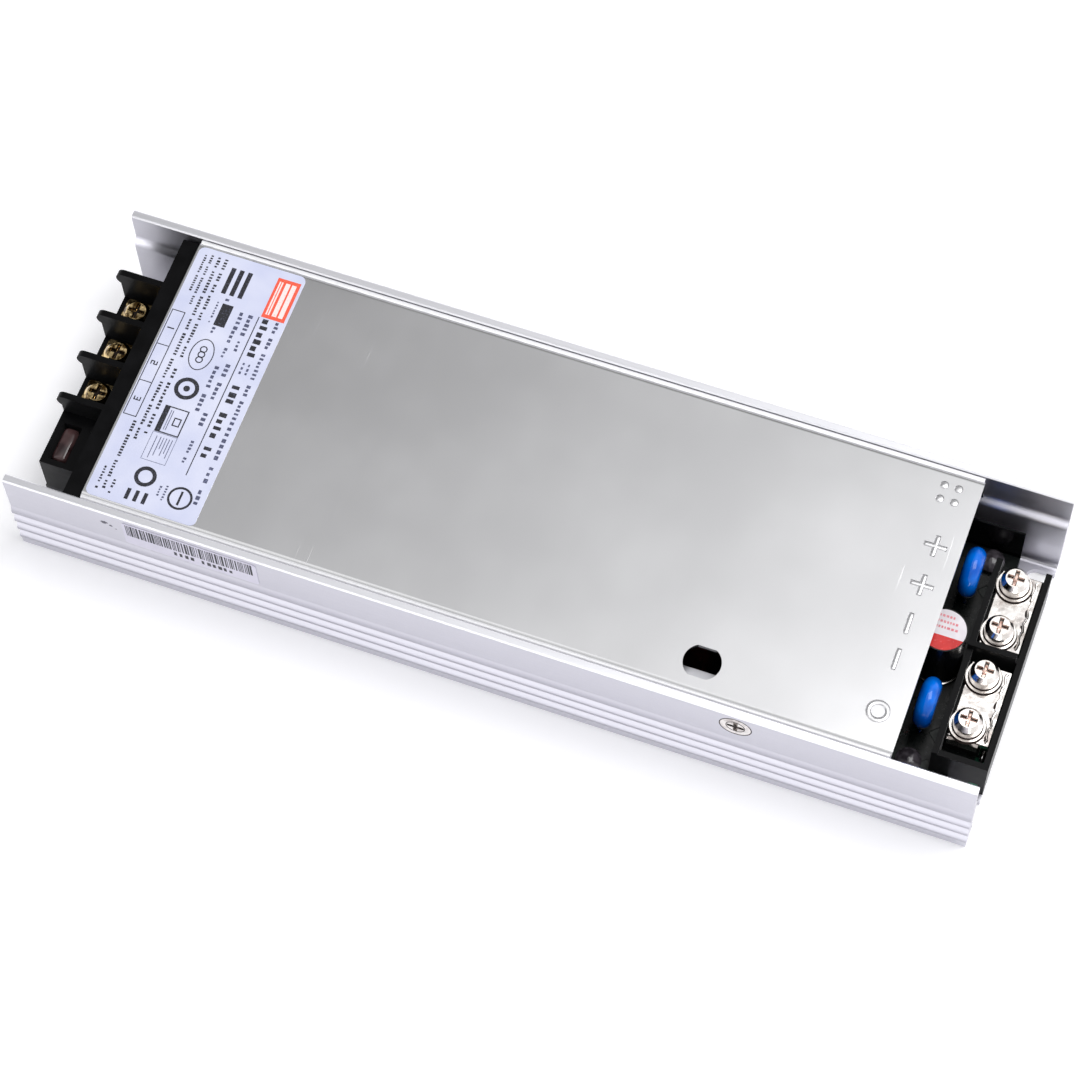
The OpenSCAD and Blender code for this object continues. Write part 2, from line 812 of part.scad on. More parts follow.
module input_housing() {
    color(c_black)
        difference() {
            union() {
                translate([in_seat_x0, bay_y1, board_top_z])
                    cube([in_back_x0 - in_seat_x0 + e, in_far_y - bay_y1, in_seat_z - board_top_z]);
                translate([in_seat_x0, bay_y0, board_top_z])
                    cube([in_back_x0 - in_seat_x0 + e, bay_y1 - bay_y0 + e, bay_top_z - board_top_z]);
                for (y = FIN_YS)
                    translate([0, y + fin_t / 2, 0])
                        rotate([90, 0, 0])
                            linear_extrude(fin_t)
                                fin_profile();
                translate([in_back_x0, -in_back_low_y, board_top_z])
                    cube([in_back_t, 2 * in_back_low_y, in_back_top_z - board_top_z]);
                translate([in_back_x0, -in_back_high_y, ledge_top_z + 0.4])
                    cube([in_back_t, 2 * in_back_high_y, in_back_top_z - ledge_top_z - 0.4]);
            }
            for (y = IN_YS) {
                translate([in_screw_x, y, in_seat_z - in_thread_l])
                    cylinder(h = in_thread_l + e, d = in_screw_d + 2 * in_hole_fit);
                translate([in_pin_x - in_hole_fit, y - in_pin_w / 2 - in_hole_fit, board_top_z - e])
                    cube([in_pin_t + 2 * in_hole_fit, in_pin_w + 2 * in_hole_fit,
                        in_seat_z - board_top_z + 2 * e]);
            }
            translate([fuse_x0 - fuse_gap, fuse_y0 - fuse_gap, board_top_z - e])
                cube([fuse_x + 2 * fuse_gap, fuse_w + 2 * fuse_gap, bay_top_z]);
        }
    color(c_black)
        translate([in_back_x0 - 2.4, bay_y1 - 2, bay_top_z - e])
            cylinder(h = 0.5, d = 1.6);
}

// Contact plate with its pin through the block and the board
module input_contact(i) {
    color(c_nickel)
        translate([0, IN_YS[i], 0])
            difference() {
                union() {
                    translate([in_plate_x0, -in_plate_w / 2, in_seat_z])
                        cube([in_plate_x1 - in_plate_x0, in_plate_w, in_plate_t]);
                    translate([in_pin_x, -in_pin_w / 2, lead_end_z])
                        cube([in_pin_t, in_pin_w, in_seat_z - lead_end_z + e]);
                }
                translate([in_screw_x, 0, in_seat_z - e])
                    cylinder(h = in_plate_t + 2 * e, d = in_screw_d + 2 * in_hole_fit);
            }
}

module input_contact_1() {
    input_contact(0);
}

module input_contact_2() {
    input_contact(1);
}

module input_contact_3() {
    input_contact(2);
}

module input_clamp_plates() {
    color(c_brass)
        for (y = IN_YS)
            translate([in_screw_x, y, in_seat_z + in_plate_t])
                difference() {
                    translate([-in_clamp_w / 2, -in_clamp_w / 2, 0])
                        round_block([in_clamp_w, in_clamp_w, in_clamp_t], 0.6);
                    translate([0, 0, -e])
                        cylinder(h = in_clamp_t + 2 * e, d = in_screw_d + 2 * in_hole_fit);
                }
}

module input_screws() {
    color(c_brass)
        for (y = IN_YS)
            translate([in_screw_x, y, in_head_z])
                pan_screw(in_head_d, in_head_h, in_screw_d, in_thread_l - 0.5 + in_plate_t);
}

module line_fuse() {
    color("#4b302c")
        translate([fuse_x0, fuse_y0, board_top_z])
            round_block([fuse_x, fuse_w, fuse_top_z - board_top_z], 0.8);
    for (s = [-1, 1])
        lead(fuse_x0 + fuse_x / 2, fuse_y0 + fuse_w / 2 + s * 2.5, board_top_z + e);
}

// ---------------------------------------------------------------- output end

module output_housing() {
    inner_x1 = half_l - out_wall_t;
    wall_h = out_wall_top_z - board_top_z;
    color(c_black)
        difference() {
            union() {
                translate([out_x0, -out_half_w, board_top_z])
                    cube([out_back_t, 2 * out_half_w, out_back_top_z - board_top_z]);
                for (s = [-1, 1])
                    translate([out_x0, out_shift + s * bar_mid - bar_l / 2, board_top_z])
                        cube([pedestal_x1 - out_x0, bar_l, bar_z - board_top_z]);
                translate([out_x0, out_shift - divider_t / 2, board_top_z])
                    cube([bar_x1 - out_x0, divider_t, divider_top_z - board_top_z]);
                translate([bar_x1 - e, out_shift - divider_t / 2, board_top_z])
                    cube([inner_x1 - bar_x1 + 2 * e, divider_t, wall_h]);
                translate([out_x0, -out_half_w, board_top_z])
                    cube([inner_x1 - out_x0 + e, out_wall_t, wall_h]);
                translate([out_x0, out_half_w - out_wall_t, board_top_z])
                    cube([inner_x1 - out_x0 + e, out_wall_t, out_far_top_z - board_top_z]);
                translate([inner_x1, -out_half_w, housing_lip_z])
                    cube([out_wall_t, 2 * out_half_w, out_wall_top_z - housing_lip_z]);
            }
            for (y = OUT_YS)
                translate([out_screw_x, y, 0]) {
                    translate([-out_nut_w / 2 - out_fit, -out_nut_w / 2 - out_fit, bar_z - out_nut_h])
                        cube([out_nut_w + 2 * out_fit, out_nut_w + 2 * out_fit, out_nut_h + e]);
                    translate([0, 0, out_thread_low_z - 0.5])
                        cylinder(h = bar_z - out_thread_low_z + 0.5 + e, d = out_screw_d + 2 * out_fit);
                }
        }
}

// Output bar: plate, turned down legs and screw holes
module output_bar(side) {
    color(c_nickel)
        translate([0, out_shift + side * bar_mid, 0])
            difference() {
                union() {
                    translate([bar_x0, -bar_l / 2, bar_z])
                        cube([bar_w, bar_l, bar_t]);
                    for (y = LEG_YS)
                        translate([bar_x1 - leg_t, y - bar_mid - leg_w / 2, lead_end_z])
                            cube([leg_t, leg_w, bar_z - lead_end_z + e]);
                }
                for (t = [-1, 1])
                    translate([out_screw_x, t * out_pitch / 2, bar_z - e])
                        cylinder(h = bar_t + 2 * e, d = out_screw_d + 2 * out_fit);
            }
}

module output_bar_positive() {
    output_bar(1);
}

module output_bar_negative() {
    output_bar(-1);
}

module output_nuts() {
    color(c_nickel)
        for (y = OUT_YS)
            translate([out_screw_x, y, bar_z - out_nut_h])
                difference() {
                    translate([-out_nut_w / 2, -out_nut_w / 2, 0])
                        cube([out_nut_w, out_nut_w, out_nut_h]);
                    translate([0, 0, -e])
                        cylinder(h = out_nut_h + 2 * e, d = out_screw_d);
                }
}

module output_flat_washers() {
    color(c_nickel)
        for (y = OUT_YS)
            translate([out_screw_x, y, bar_top_z])
                difference() {
                    cylinder(h = out_flat_t, d = out_washer_d);
                    translate([0, 0, -e])
                        cylinder(h = out_flat_t + 2 * e, d = out_screw_d + 2 * out_fit);
                }
}

module output_spring_washers() {
    color(c_nickel)
        for (y = OUT_YS)
            translate([out_screw_x, y, bar_top_z + out_flat_t])
                difference() {
                    cylinder(h = out_spring_t, d = out_spring_d);
                    translate([0, 0, -e])
                        cylinder(h = out_spring_t + 2 * e, d = out_screw_d + 2 * out_fit);
                    rotate([0, 0, 30])
                        translate([0, -0.25, -e])
                            cube([out_spring_d, 0.5, out_spring_t + 2 * e]);
                }
}

module output_screws() {
    color(c_nickel)
        for (y = OUT_YS)
            translate([out_screw_x, y, out_head_z])
                pan_screw(out_head_d, out_head_h, out_screw_d, out_head_z - out_thread_low_z);
}

// ---------------------------------------------------------------- capacitors near the output

module disc_capacitor(i) {
    z = board_top_z + disc_lift + disc_d / 2;
    color(c_blue)
        translate([disc_x, disc_ys[i], z])
            rotate([0, 90, 0])
                rotate_extrude()
                    intersection() {
                        translate([0, -disc_t / 2])
                            square([disc_d / 2, disc_t]);
                        union() {
                            translate([0, -disc_t / 2])
                                square([disc_d / 2 - disc_t / 2, disc_t]);
                            translate([disc_d / 2 - disc_t / 2, 0])
                                circle(disc_t / 2);
                        }
                    }
    color(c_nickel)
        for (s = [-1, 1])
            lead(disc_x, disc_ys[i] + s * disc_lead_gap / 2, board_top_z + disc_lift + 1.6);
}

module disc_capacitor_1() {
    disc_capacitor(0);
}

module disc_capacitor_2() {
    disc_capacitor(1);
}

// Cylindrical capacitor with its crimped sleeve
module can_capacitor(i) {
    p = can_places()[i];
    crimp_z = 1.6;
    crimp_r = 0.5;
    color(c_black)
        difference() {
            translate([p[0], p[1], board_top_z])
                cylinder(h = can_h, d = can_d);
            translate([p[0], p[1], board_top_z + crimp_z])
                rotate_extrude()
                    translate([can_d / 2 + crimp_r * 0.3, 0])
                        circle(crimp_r);
        }
    for (s = [-1, 1])
        lead(p[0], p[1] + s * 1.75, board_top_z + e);
}

module output_capacitor_1() {
    can_capacitor(0);
}

module output_capacitor_2() {
    can_capacitor(1);
}

module output_capacitor_3() {
    can_capacitor(2);
}

module output_capacitor_4() {
    can_capacitor(3);
}

// ---------------------------------------------------------------- input filter

// Dipped disc on two leads
module radial_disc(y) {
    z = board_top_z + 1 + radial_d / 2;
    translate([filter_x - radial_t / 2, y, z])
        rotate([0, 90, 0])
            cylinder(h = radial_t, d = radial_d);
    for (s = [-1, 1])
        lead(filter_x, y + s * 2.5, board_top_z + 3);
}

module varistor() {
    color(c_blue)
        radial_disc(varistor_y);
}

module inrush_thermistor() {
    color("#26332c")
        radial_disc(thermistor_y);
}

module line_filter_capacitor() {
    h = clear_h - 3;
    color("#d9b23c")
        translate([box_x0, box_y - box_w / 2, board_top_z])
            round_block([box_l, box_w, h], 0.6);
    for (s = [-1, 1])
        lead(box_x0 + box_l / 2 + s * 7.5, box_y, board_top_z + e);
}

// Ring core lying flat, its lower face at z
module ring_core(d, bore, h, z) {
    translate([0, 0, z])
        difference() {
            cylinder(h = h, d = d);
            translate([0, 0, -e])
                cylinder(h = h + 2 * e, d = bore);
        }
}

// Winding laid round the section of a ring core, between two angles
module core_winding(d, bore, h, wire_d, z, a0, a1) {
    r0 = bore / 2 - turn_gap - wire_d;
    r1 = d / 2 + turn_gap + wire_d;
    rotate([0, 0, a0])
        translate([0, 0, z - turn_gap - wire_d])
            rotate_extrude(angle = a1 - a0)
                difference() {
                    translate([r0, 0])
                        square([r1 - r0, h + 2 * (turn_gap + wire_d)]);
                    translate([r0 + wire_d, wire_d])
                        square([r1 - r0 - 2 * wire_d, h + 2 * turn_gap]);
                }
}

line_core_z = board_top_z + line_wire_d + turn_gap;

module line_choke_core() {
    color(c_ferrite)
        translate([line_core_x, line_core_y, 0])
            ring_core(line_core_d, line_core_bore, line_core_h, line_core_z);
}

module line_choke_windings() {
    color(c_copper)
        translate([line_core_x, line_core_y, 0])
            for (a = [35, 215])
                core_winding(line_core_d, line_core_bore, line_core_h, line_wire_d,
                    line_core_z, a, a + 110);
}

boost_core_z = board_top_z + boost_wire_d + turn_gap;

module boost_choke_core() {
    color(c_ferrite)
        translate([boost_x, 0, 0])
            ring_core(boost_core_d, boost_core_bore, boost_core_h, boost_core_z);
}

module boost_choke_winding() {
    color(c_copper)
        translate([boost_x, 0, 0])
            core_winding(boost_core_d, boost_core_bore, boost_core_h, boost_wire_d,
                boost_core_z, 15, 345);
}

// ---------------------------------------------------------------- power stage

module bulk_capacitor(side) {
    groove_r = 0.6;
    color(c_black)
        translate([bulk_x0, side * bulk_y, board_top_z + bulk_d / 2 + e])
            rotate([0, 90, 0])
                difference() {
                    cylinder(h = bulk_l, d = bulk_d);
                    translate([0, 0, 2.5])
                        rotate_extrude()
                            translate([bulk_d / 2 + groove_r * 0.3, 0])
                                circle(groove_r);
                }
}

module bulk_capacitor_1() {
    bulk_capacitor(1);
}

module bulk_capacitor_2() {
    bulk_capacitor(-1);
}

xf_z = board_top_z + xf_lift;
xf_window_h = xf_h - 2 * xf_yoke;
xf_c = xf_x0 + xf_l / 2;

module transformer_core() {
    side_t = 3;
    color(c_ferrite) {
        translate([xf_x0, xf_y - xf_w / 2, xf_z])
            difference() {
                cube([xf_l, xf_w, xf_h]);
                translate([-e, side_t, xf_yoke])
                    cube([xf_l + 2 * e, xf_w - 2 * side_t, xf_window_h]);
            }
        translate([xf_c, xf_y, xf_z + xf_yoke - e])
            cylinder(h = xf_window_h + 2 * e, d = xf_leg_d);
    }
}

module transformer_bobbin() {
    z0 = xf_z + xf_yoke + xf_fit;
    h = xf_window_h - 2 * xf_fit;
    inner_d = xf_leg_d + 2 * xf_fit;
    foot_x = xf_l / 2 + 2.6;
    color("#1d1d20")
        difference() {
            union() {
                translate([xf_c, xf_y, z0])
                    cylinder(h = h, d = inner_d + 2 * xf_bobbin_t);
                for (z = [z0, z0 + h - xf_bobbin_t])
                    translate([xf_c, xf_y, z])
                        cylinder(h = xf_bobbin_t, d = xf_winding_d);
                for (s = [-1, 1])
                    translate([xf_c + s * foot_x - 1.2, xf_y - 9, board_top_z])
                        cube([2.4, 18, z0 + xf_bobbin_t - board_top_z]);
                translate([xf_c - foot_x, xf_y - 4, z0])
                    cube([2 * foot_x, 8, xf_bobbin_t]);
            }
            translate([xf_c, xf_y, z0 - e])
                cylinder(h = h + 2 * e, d = inner_d);
        }
}

module transformer_winding() {
    z0 = xf_z + xf_yoke + xf_fit + xf_bobbin_t;
    h = xf_window_h - 2 * xf_fit - 2 * xf_bobbin_t;
    bore = xf_leg_d + 2 * xf_fit + 2 * xf_bobbin_t;
    color("#c9a227")
        translate([xf_c, xf_y, z0])
            difference() {
                cylinder(h = h, d = xf_winding_d - 1);
                translate([0, 0, -e])
                    cylinder(h = h + 2 * e, d = bore + 0.1);
            }
}

module resonant_capacitor() {
    color("#8c2f24")
        translate([res_x0, res_y - res_w / 2, board_top_z])
            round_block([res_l, res_w, res_h], 0.8);
    for (s = [-1, 1])
        lead(res_x0 + res_l / 2 + s * 4, res_y, board_top_z + e);
}

// Moulded package against the +Y wall, with flat leads through the board
module package(x, w, n) {
    color("#202024")
        translate([x, package_y, package_z])
            cube([w, package_t, package_h]);
    color(c_nickel)
        for (p = package_leads(x, w, n))
            translate([p[0] - package_lead_w / 2, p[1] - package_lead_t / 2, lead_end_z])
                cube([package_lead_w, package_lead_t, package_z - lead_end_z + e]);
}

module bridge_rectifier() {
    package(row_start(far_row_x, far_widths, 0), bridge_w, 4);
}

module boost_transistor() {
    package(row_start(far_row_x, far_widths, 1), package_w, 3);
}

module boost_diode() {
    package(row_start(far_row_x, far_widths, 2), package_w, 2);
}

module near_package(x0, i) {
    mirror([0, 1, 0])
        package(row_start(x0, pair_widths, i), package_w, 3);
}

module switch_transistor_1() {
    near_package(switch_row_x, 0);
}

module switch_transistor_2() {
    near_package(switch_row_x, 1);
}

module output_rectifier_1() {
    near_package(rectifier_row_x, 0);
}

module output_rectifier_2() {
    near_package(rectifier_row_x, 1);
}

// Thermal pad behind a row, against the +Y wall
module thermal_pad(x0, widths) {
    color("#9fb0b8")
        translate([x0, pad_y, package_z])
            cube([row_length(widths), pad_t, package_h]);
}

module far_thermal_pad() {
    thermal_pad(far_row_x, far_widths);
}

module switch_thermal_pad() {
    mirror([0, 1, 0])
        thermal_pad(switch_row_x, pair_widths);
}

module rectifier_thermal_pad() {
    mirror([0, 1, 0])
        thermal_pad(rectifier_row_x, pair_widths);
}

// Screw places at both ends of a clamp bar
function clamp_screws_x(x0, widths) =
    [x0 - clamp_end / 2, x0 + row_length(widths) + clamp_end / 2];

// Clamp bar across a row, with feet that stand on the wall beside the row
module clamp_bar(x0, widths) {
    bar_l = row_length(widths) + 2 * clamp_end;
    color(c_tinned)
        difference() {
            union() {
                translate([x0 - clamp_end, package_y - clamp_t, clamp_z])
                    cube([bar_l, clamp_t, clamp_h]);
                for (x = [x0 - clamp_end, x0 + row_length(widths) + 0.5])
                    translate([x, package_y - e, clamp_z])
                        cube([clamp_end - 0.5, low_y - package_y + e, clamp_h]);
            }
            for (x = clamp_screws_x(x0, widths))
                translate([x, package_y - clamp_t - e, clamp_screw_z])
                    rotate([-90, 0, 0])
                        cylinder(h = clamp_t + package_t + pad_t + 2 * e, d = clamp_screw_d + 2 * screw_fit);
        }
}

module far_clamp_bar() {
    clamp_bar(far_row_x, far_widths);
}

module switch_clamp_bar() {
    mirror([0, 1, 0])
        clamp_bar(switch_row_x, pair_widths);
}

module rectifier_clamp_bar() {
    mirror([0, 1, 0])
        clamp_bar(rectifier_row_x, pair_widths);
}

// Clamp screws of one row, driven towards +Y
module row_screws(x0, widths) {
    shank_l = clamp_t + package_t + pad_t + clamp_thread_in - 0.2;
    for (x = clamp_screws_x(x0, widths))
        translate([x, package_y - clamp_t, clamp_screw_z])
            rotate([90, 0, 0])
                pan_screw(clamp_head_d, clamp_head_h, clamp_screw_d, shank_l);
}

module clamp_screws() {
    color(c_nickel) {
        row_screws(far_row_x, far_widths);
        mirror([0, 1, 0]) {
            row_screws(switch_row_x, pair_widths);
            row_screws(rectifier_row_x, pair_widths);
        }
    }
}

module control_board() {
    color(c_green)
        translate([card_x, card_y - card_w / 2, board_top_z])
            cube([card_t, card_w, card_h]);
    color(c_black)
        for (y = [-8, 4])
            translate([card_x + card_t - e, card_y + y, board_top_z + 4])
                cube([1.4, 5, 6]);
}

// ---------------------------------------------------------------- nodes

chassis();
cover();
cover_screws();
rating_label();
serial_sticker();
top_insulator();
base_insulator();
circuit_board();
board_spacers();
board_rivets();
input_housing();
input_contact_1();
input_contact_2();
input_contact_3();
input_clamp_plates();
input_screws();
line_fuse();
output_housing();
output_bar_positive();
output_bar_negative();
output_nuts();
output_flat_washers();
output_spring_washers();
output_screws();
disc_capacitor_1();
disc_capacitor_2();
output_capacitor_1();
output_capacitor_2();
output_capacitor_3();
output_capacitor_4();
varistor();
inrush_thermistor();
line_filter_capacitor();
line_choke_core();
line_choke_windings();
boost_choke_core();
boost_choke_winding();
bulk_capacitor_1();
bulk_capacitor_2();
transformer_core();
transformer_bobbin();
transformer_winding();
resonant_capacitor();
bridge_rectifier();
boost_transistor();
boost_diode();
switch_transistor_1();
switch_transistor_2();
output_rectifier_1();
output_rectifier_2();
far_thermal_pad();
switch_thermal_pad();
rectifier_thermal_pad();
far_clamp_bar();
switch_clamp_bar();
rectifier_clamp_bar();
clamp_screws();
control_board();
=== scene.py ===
"""Looks for a slim open frame power supply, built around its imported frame.

Each sub-assembly is a class that holds its sizes in millimetres, builds its
meshes and dresses the frame's nodes. Meshes are drawn in millimetres in the
frame's own axes, and turned into metres when they become objects.
"""

import logging
import math
import random
from collections.abc import Callable, Sequence
from dataclasses import dataclass, field
from enum import Enum
from typing import Any, ClassVar

import bmesh
import bpy
from mathutils import Matrix, Vector


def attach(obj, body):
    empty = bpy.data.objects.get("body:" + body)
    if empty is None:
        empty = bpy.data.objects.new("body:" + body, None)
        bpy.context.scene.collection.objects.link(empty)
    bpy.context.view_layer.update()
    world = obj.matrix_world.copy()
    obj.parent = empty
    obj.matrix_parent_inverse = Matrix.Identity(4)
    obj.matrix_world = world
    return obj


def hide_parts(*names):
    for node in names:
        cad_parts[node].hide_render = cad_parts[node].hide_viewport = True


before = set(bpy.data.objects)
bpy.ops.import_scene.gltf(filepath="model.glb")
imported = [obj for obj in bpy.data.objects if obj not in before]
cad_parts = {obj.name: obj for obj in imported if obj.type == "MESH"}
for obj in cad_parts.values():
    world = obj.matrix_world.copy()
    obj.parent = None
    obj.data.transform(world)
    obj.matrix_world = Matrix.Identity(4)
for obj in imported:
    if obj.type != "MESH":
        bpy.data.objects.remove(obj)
LOG = logging.getLogger("power_supply")
Point = Sequence[float]
Span = tuple[float, float]
Outline = Sequence[Span]
Sheet = Callable[[float, float, float], Point]
Tree = bpy.types.NodeTree
Node = bpy.types.Node
Socket = bpy.types.NodeSocket
Look = tuple[Node, Node, Node]
ROOT = "root"
SEED = 20
MM_PER_M = 1000


# ------------------------------------------------------------------ nodes and colours

def linear(hex_colour: str) -> tuple[float, float, float, float]:
    """Turns an sRGB hex colour into linear red, green, blue and alpha.

    Args:
        hex_colour: six hex digits after a hash, such as "#1f5a45".

    Returns:
        The linear colour with an alpha of 1.
    """
    digits = hex_colour.lstrip("#")
    parts = [int(digits[i:i + 2], 16) / 255 for i in (0, 2, 4)]
    red, green, blue = (c / 12.92 if c <= 0.04045 else ((c + 0.055) / 1.055) ** 2.4 for c in parts)
    return red, green, blue, 1.0


def add_node(tree: Tree, kind: str, settings: dict[str | int, Any] | None = None, **links: Any) -> Node:
    """Adds a node with its settings and links.

    Args:
        tree: the node tree that gets the node.
        kind: the node's type without its "ShaderNode", such as "TexNoise".
        settings: values by property name, or by socket name or number. "ramp" holds a
            colour ramp's stops, each a position and a hex colour.
        links: what feeds each input: a socket, or a node for its first output. In an
            input's name an underscore stands for a space, and i0 is input 0.

    Returns:
        The new node.
    """
    node = tree.nodes.new(f"ShaderNode{kind}")
    for key, value in (settings or {}).items():
        if key == "ramp":
            stops = node.color_ramp.elements
            while len(stops) < len(value):
                stops.new(1.0)
            for stop, (place, colour) in zip(stops, value):
                stop.position, stop.color = place, linear(colour)
        elif isinstance(key, str) and hasattr(node, key):
            setattr(node, key, value)
        else:
            node.inputs[key].default_value = value
    for key, source in links.items():
        name = int(key[1:]) if key[0] == "i" and key[1:].isdigit() else key.replace("_", " ")
        tree.links.new(source.outputs[0] if isinstance(source, Node) else source, node.inputs[name])
    return node


# ------------------------------------------------------------------ finishes

class Grain(Enum):
    """The two grains that a finish can have."""

    COARSE = "coarse"
    FINE = "fine"


@dataclass(frozen=True)
class Finish:
    """A finish with a coarse grain and a fine one.

    The coarse grain takes the colour from the shade to the full colour, over the
    two values in tone_at. One of the grains changes the roughness by gloss_by as
    it passes the values in gloss_at, and one of them gives the relief its depth.
    """

    name: str
    colour: str
    shade: str
    roughness: float
    metallic: float = 0.0
    specular: float = 0.5
    sheen: float = 0.0
    sheen_roughness: float = 0.3
    coarse_mm: float = 3.0
    coarse_detail: int = 2
    fine_mm: float = 0.3
    fine_detail: int = 2
    tone_at: Span = (0.3, 0.7)
    gloss_at: Span = (0.3, 0.7)
    gloss_by: Span = (-0.05, 0.1)
    gloss_follows: Grain = Grain.FINE
    relief_follows: Grain = Grain.FINE
    depth_mm: float = 0.01
    made: ClassVar[dict[str, bpy.types.Material]] = {}

    def material(self) -> bpy.types.Material:
        """Makes the finish's material the first time.

        Returns:
            The material, which every piece with this finish shares.
        """
        if self.name not in Finish.made:
            material = bpy.data.materials.new(self.name)
            material.use_nodes = True
            tree = material.node_tree
            shader = tree.nodes["Principled BSDF"]
            for socket, value in (("Metallic", self.metallic), ("Specular IOR Level", self.specular),
                                  ("Sheen Weight", self.sheen), ("Sheen Roughness", self.sheen_roughness)):
                shader.inputs[socket].default_value = value
            look = self.pattern(tree, add_node(tree, "TexCoord").outputs["Object"])
            for node, socket in zip(look, ("Base Color", "Roughness", "Normal")):
                tree.links.new(node.outputs[0], shader.inputs[socket])
            material.diffuse_color = linear(self.colour)
            Finish.made[self.name] = material
        return Finish.made[self.name]

    def pattern(self, tree: Tree, place: Socket) -> Look:
        """Draws the finish's own surface, which is its two grains unless it has more to show.

        Args:
            tree: the material's node tree.
            place: where each point of the surface is, in metres.

        Returns:
            The nodes that give its colour, its roughness and its bump.
        """
        grains = {kind: add_node(tree, "TexNoise", {"Scale": MM_PER_M / size, "Detail": detail}, Vector=place)
                  for kind, size, detail in ((Grain.COARSE, self.coarse_mm, self.coarse_detail),
                                             (Grain.FINE, self.fine_mm, self.fine_detail))}
        return self.look(tree, grains[Grain.COARSE], grains[self.gloss_follows], grains[self.relief_follows])

    def look(self, tree: Tree, tone: Node, gloss: Node, relief: Node) -> Look:
        """Turns patterns into colour, roughness and bump.

        Args:
            tree: the material's node tree.
            tone: what the colour follows.
            gloss: what the roughness follows.
            relief: what the height of the surface follows.

        Returns:
            The nodes that give its colour, its roughness and its bump.
        """
        colour = add_node(tree, "ValToRGB", {"ramp": self.stops()}, Fac=tone)
        rough = add_node(tree, "MapRange", {
            "From Min": self.gloss_at[0], "From Max": self.gloss_at[1],
            "To Min": self.roughness + self.gloss_by[0], "To Max": self.roughness + self.gloss_by[1]}, Value=gloss)
        bump = add_node(tree, "Bump", {"Distance": self.depth_mm / MM_PER_M}, Height=relief)
        return colour, rough, bump

    def stops(self) -> list[tuple[float, str]]:
        """Returns the colour ramp's stops in order."""
        return sorted(zip(self.tone_at, (self.shade, self.colour)))


@dataclass(frozen=True)
class AnodisedExtrusion(Finish):
    """Extruded 6063 aluminium, caustic etched and clear anodised.

    The etch gives the eye a soft satin bloom, the die leaves faint lines along
    the extrusion, and the oxide gives a cool, slightly lilac white. The top of
    the rims is painted lighter as a painted highlight, and the crests of the
    ribs are painted darker as a painted shade.
    """

    metallic: float = 1.0
    coarse_mm: float = 30
    # the real grain is about 0.05 mm: it is drawn coarser so that it shows
    fine_mm: float = 0.25
    line_mm: float = 0.4
    line_stretch: Point = (0.012, 1, 1)
    gloss_at: Span = (0.7, 1.3)
    gloss_by: Span = (-0.05, 0.05)
    depth_mm: float = 0.003
    # painted highlight: the rims' lighter colour; painted shade: the ribs' crests' darker colour
    rim_highlight: str = "#e1e1e6"
    rim_highlight_z: Span = (23.6, 23.85)
    crest_shade: str = "#b3b2bb"
    crest_shade_y: Span = (29.74, 29.97)
    crest_shade_z: Span = (2.2, 2.4)
    crest_shade_by: float = -0.5

    def pattern(self, tree: Tree, place: Socket) -> Look:
        """Draws die lines along X, an etched grain, a painted highlight on the rims and painted shade on the crests.

        Args:
            tree: the material's node tree.
            place: where each point of the surface is, in metres.

        Returns:
            The nodes that give its colour, its roughness and its bump.
        """
        along = add_node(tree, "Mapping", {"Scale": self.line_stretch}, Vector=place)
        lines, grain, slow = (
            add_node(tree, "TexNoise", {"Scale": MM_PER_M / size, "Detail": detail}, Vector=source)
            for size, detail, source in ((self.line_mm, 3, along), (self.fine_mm, 2, place),
                                         (self.coarse_mm, 1, along)))
        surface = add_node(tree, "Math", {"operation": "ADD"}, i0=lines, i1=grain)
        spot = add_node(tree, "SeparateXYZ", Vector=place)
        out = add_node(tree, "Math", {"operation": "ABSOLUTE"}, i0=spot.outputs["Y"])
        # masks by position: rim is the rims' painted highlight, and side and above together mark the crests' painted
        # shade
        rim, side, above = (
            add_node(tree, "MapRange", {"From Min": low / MM_PER_M, "From Max": high / MM_PER_M}, Value=value)
            for (low, high), value in ((self.rim_highlight_z, spot.outputs["Z"]), (self.crest_shade_y, out),
                                       (self.crest_shade_z, spot.outputs["Z"])))
        crest = add_node(tree, "Math", {"operation": "MINIMUM"}, i0=side, i1=above)
        tone = add_node(tree, "Math", {"operation": "ADD"}, i0=slow, i1=rim)
        tone = add_node(tree, "Math", {"operation": "MULTIPLY_ADD", 1: self.crest_shade_by}, i0=crest, i2=tone)
        return self.look(tree, tone, surface, surface)

    def stops(self) -> list[tuple[float, str]]:
        """Returns the ramp's stops from the crests' painted shade to the rims' painted highlight."""
        return [(0.0, self.crest_shade), *super().stops(), (1.0, self.rim_highlight)]


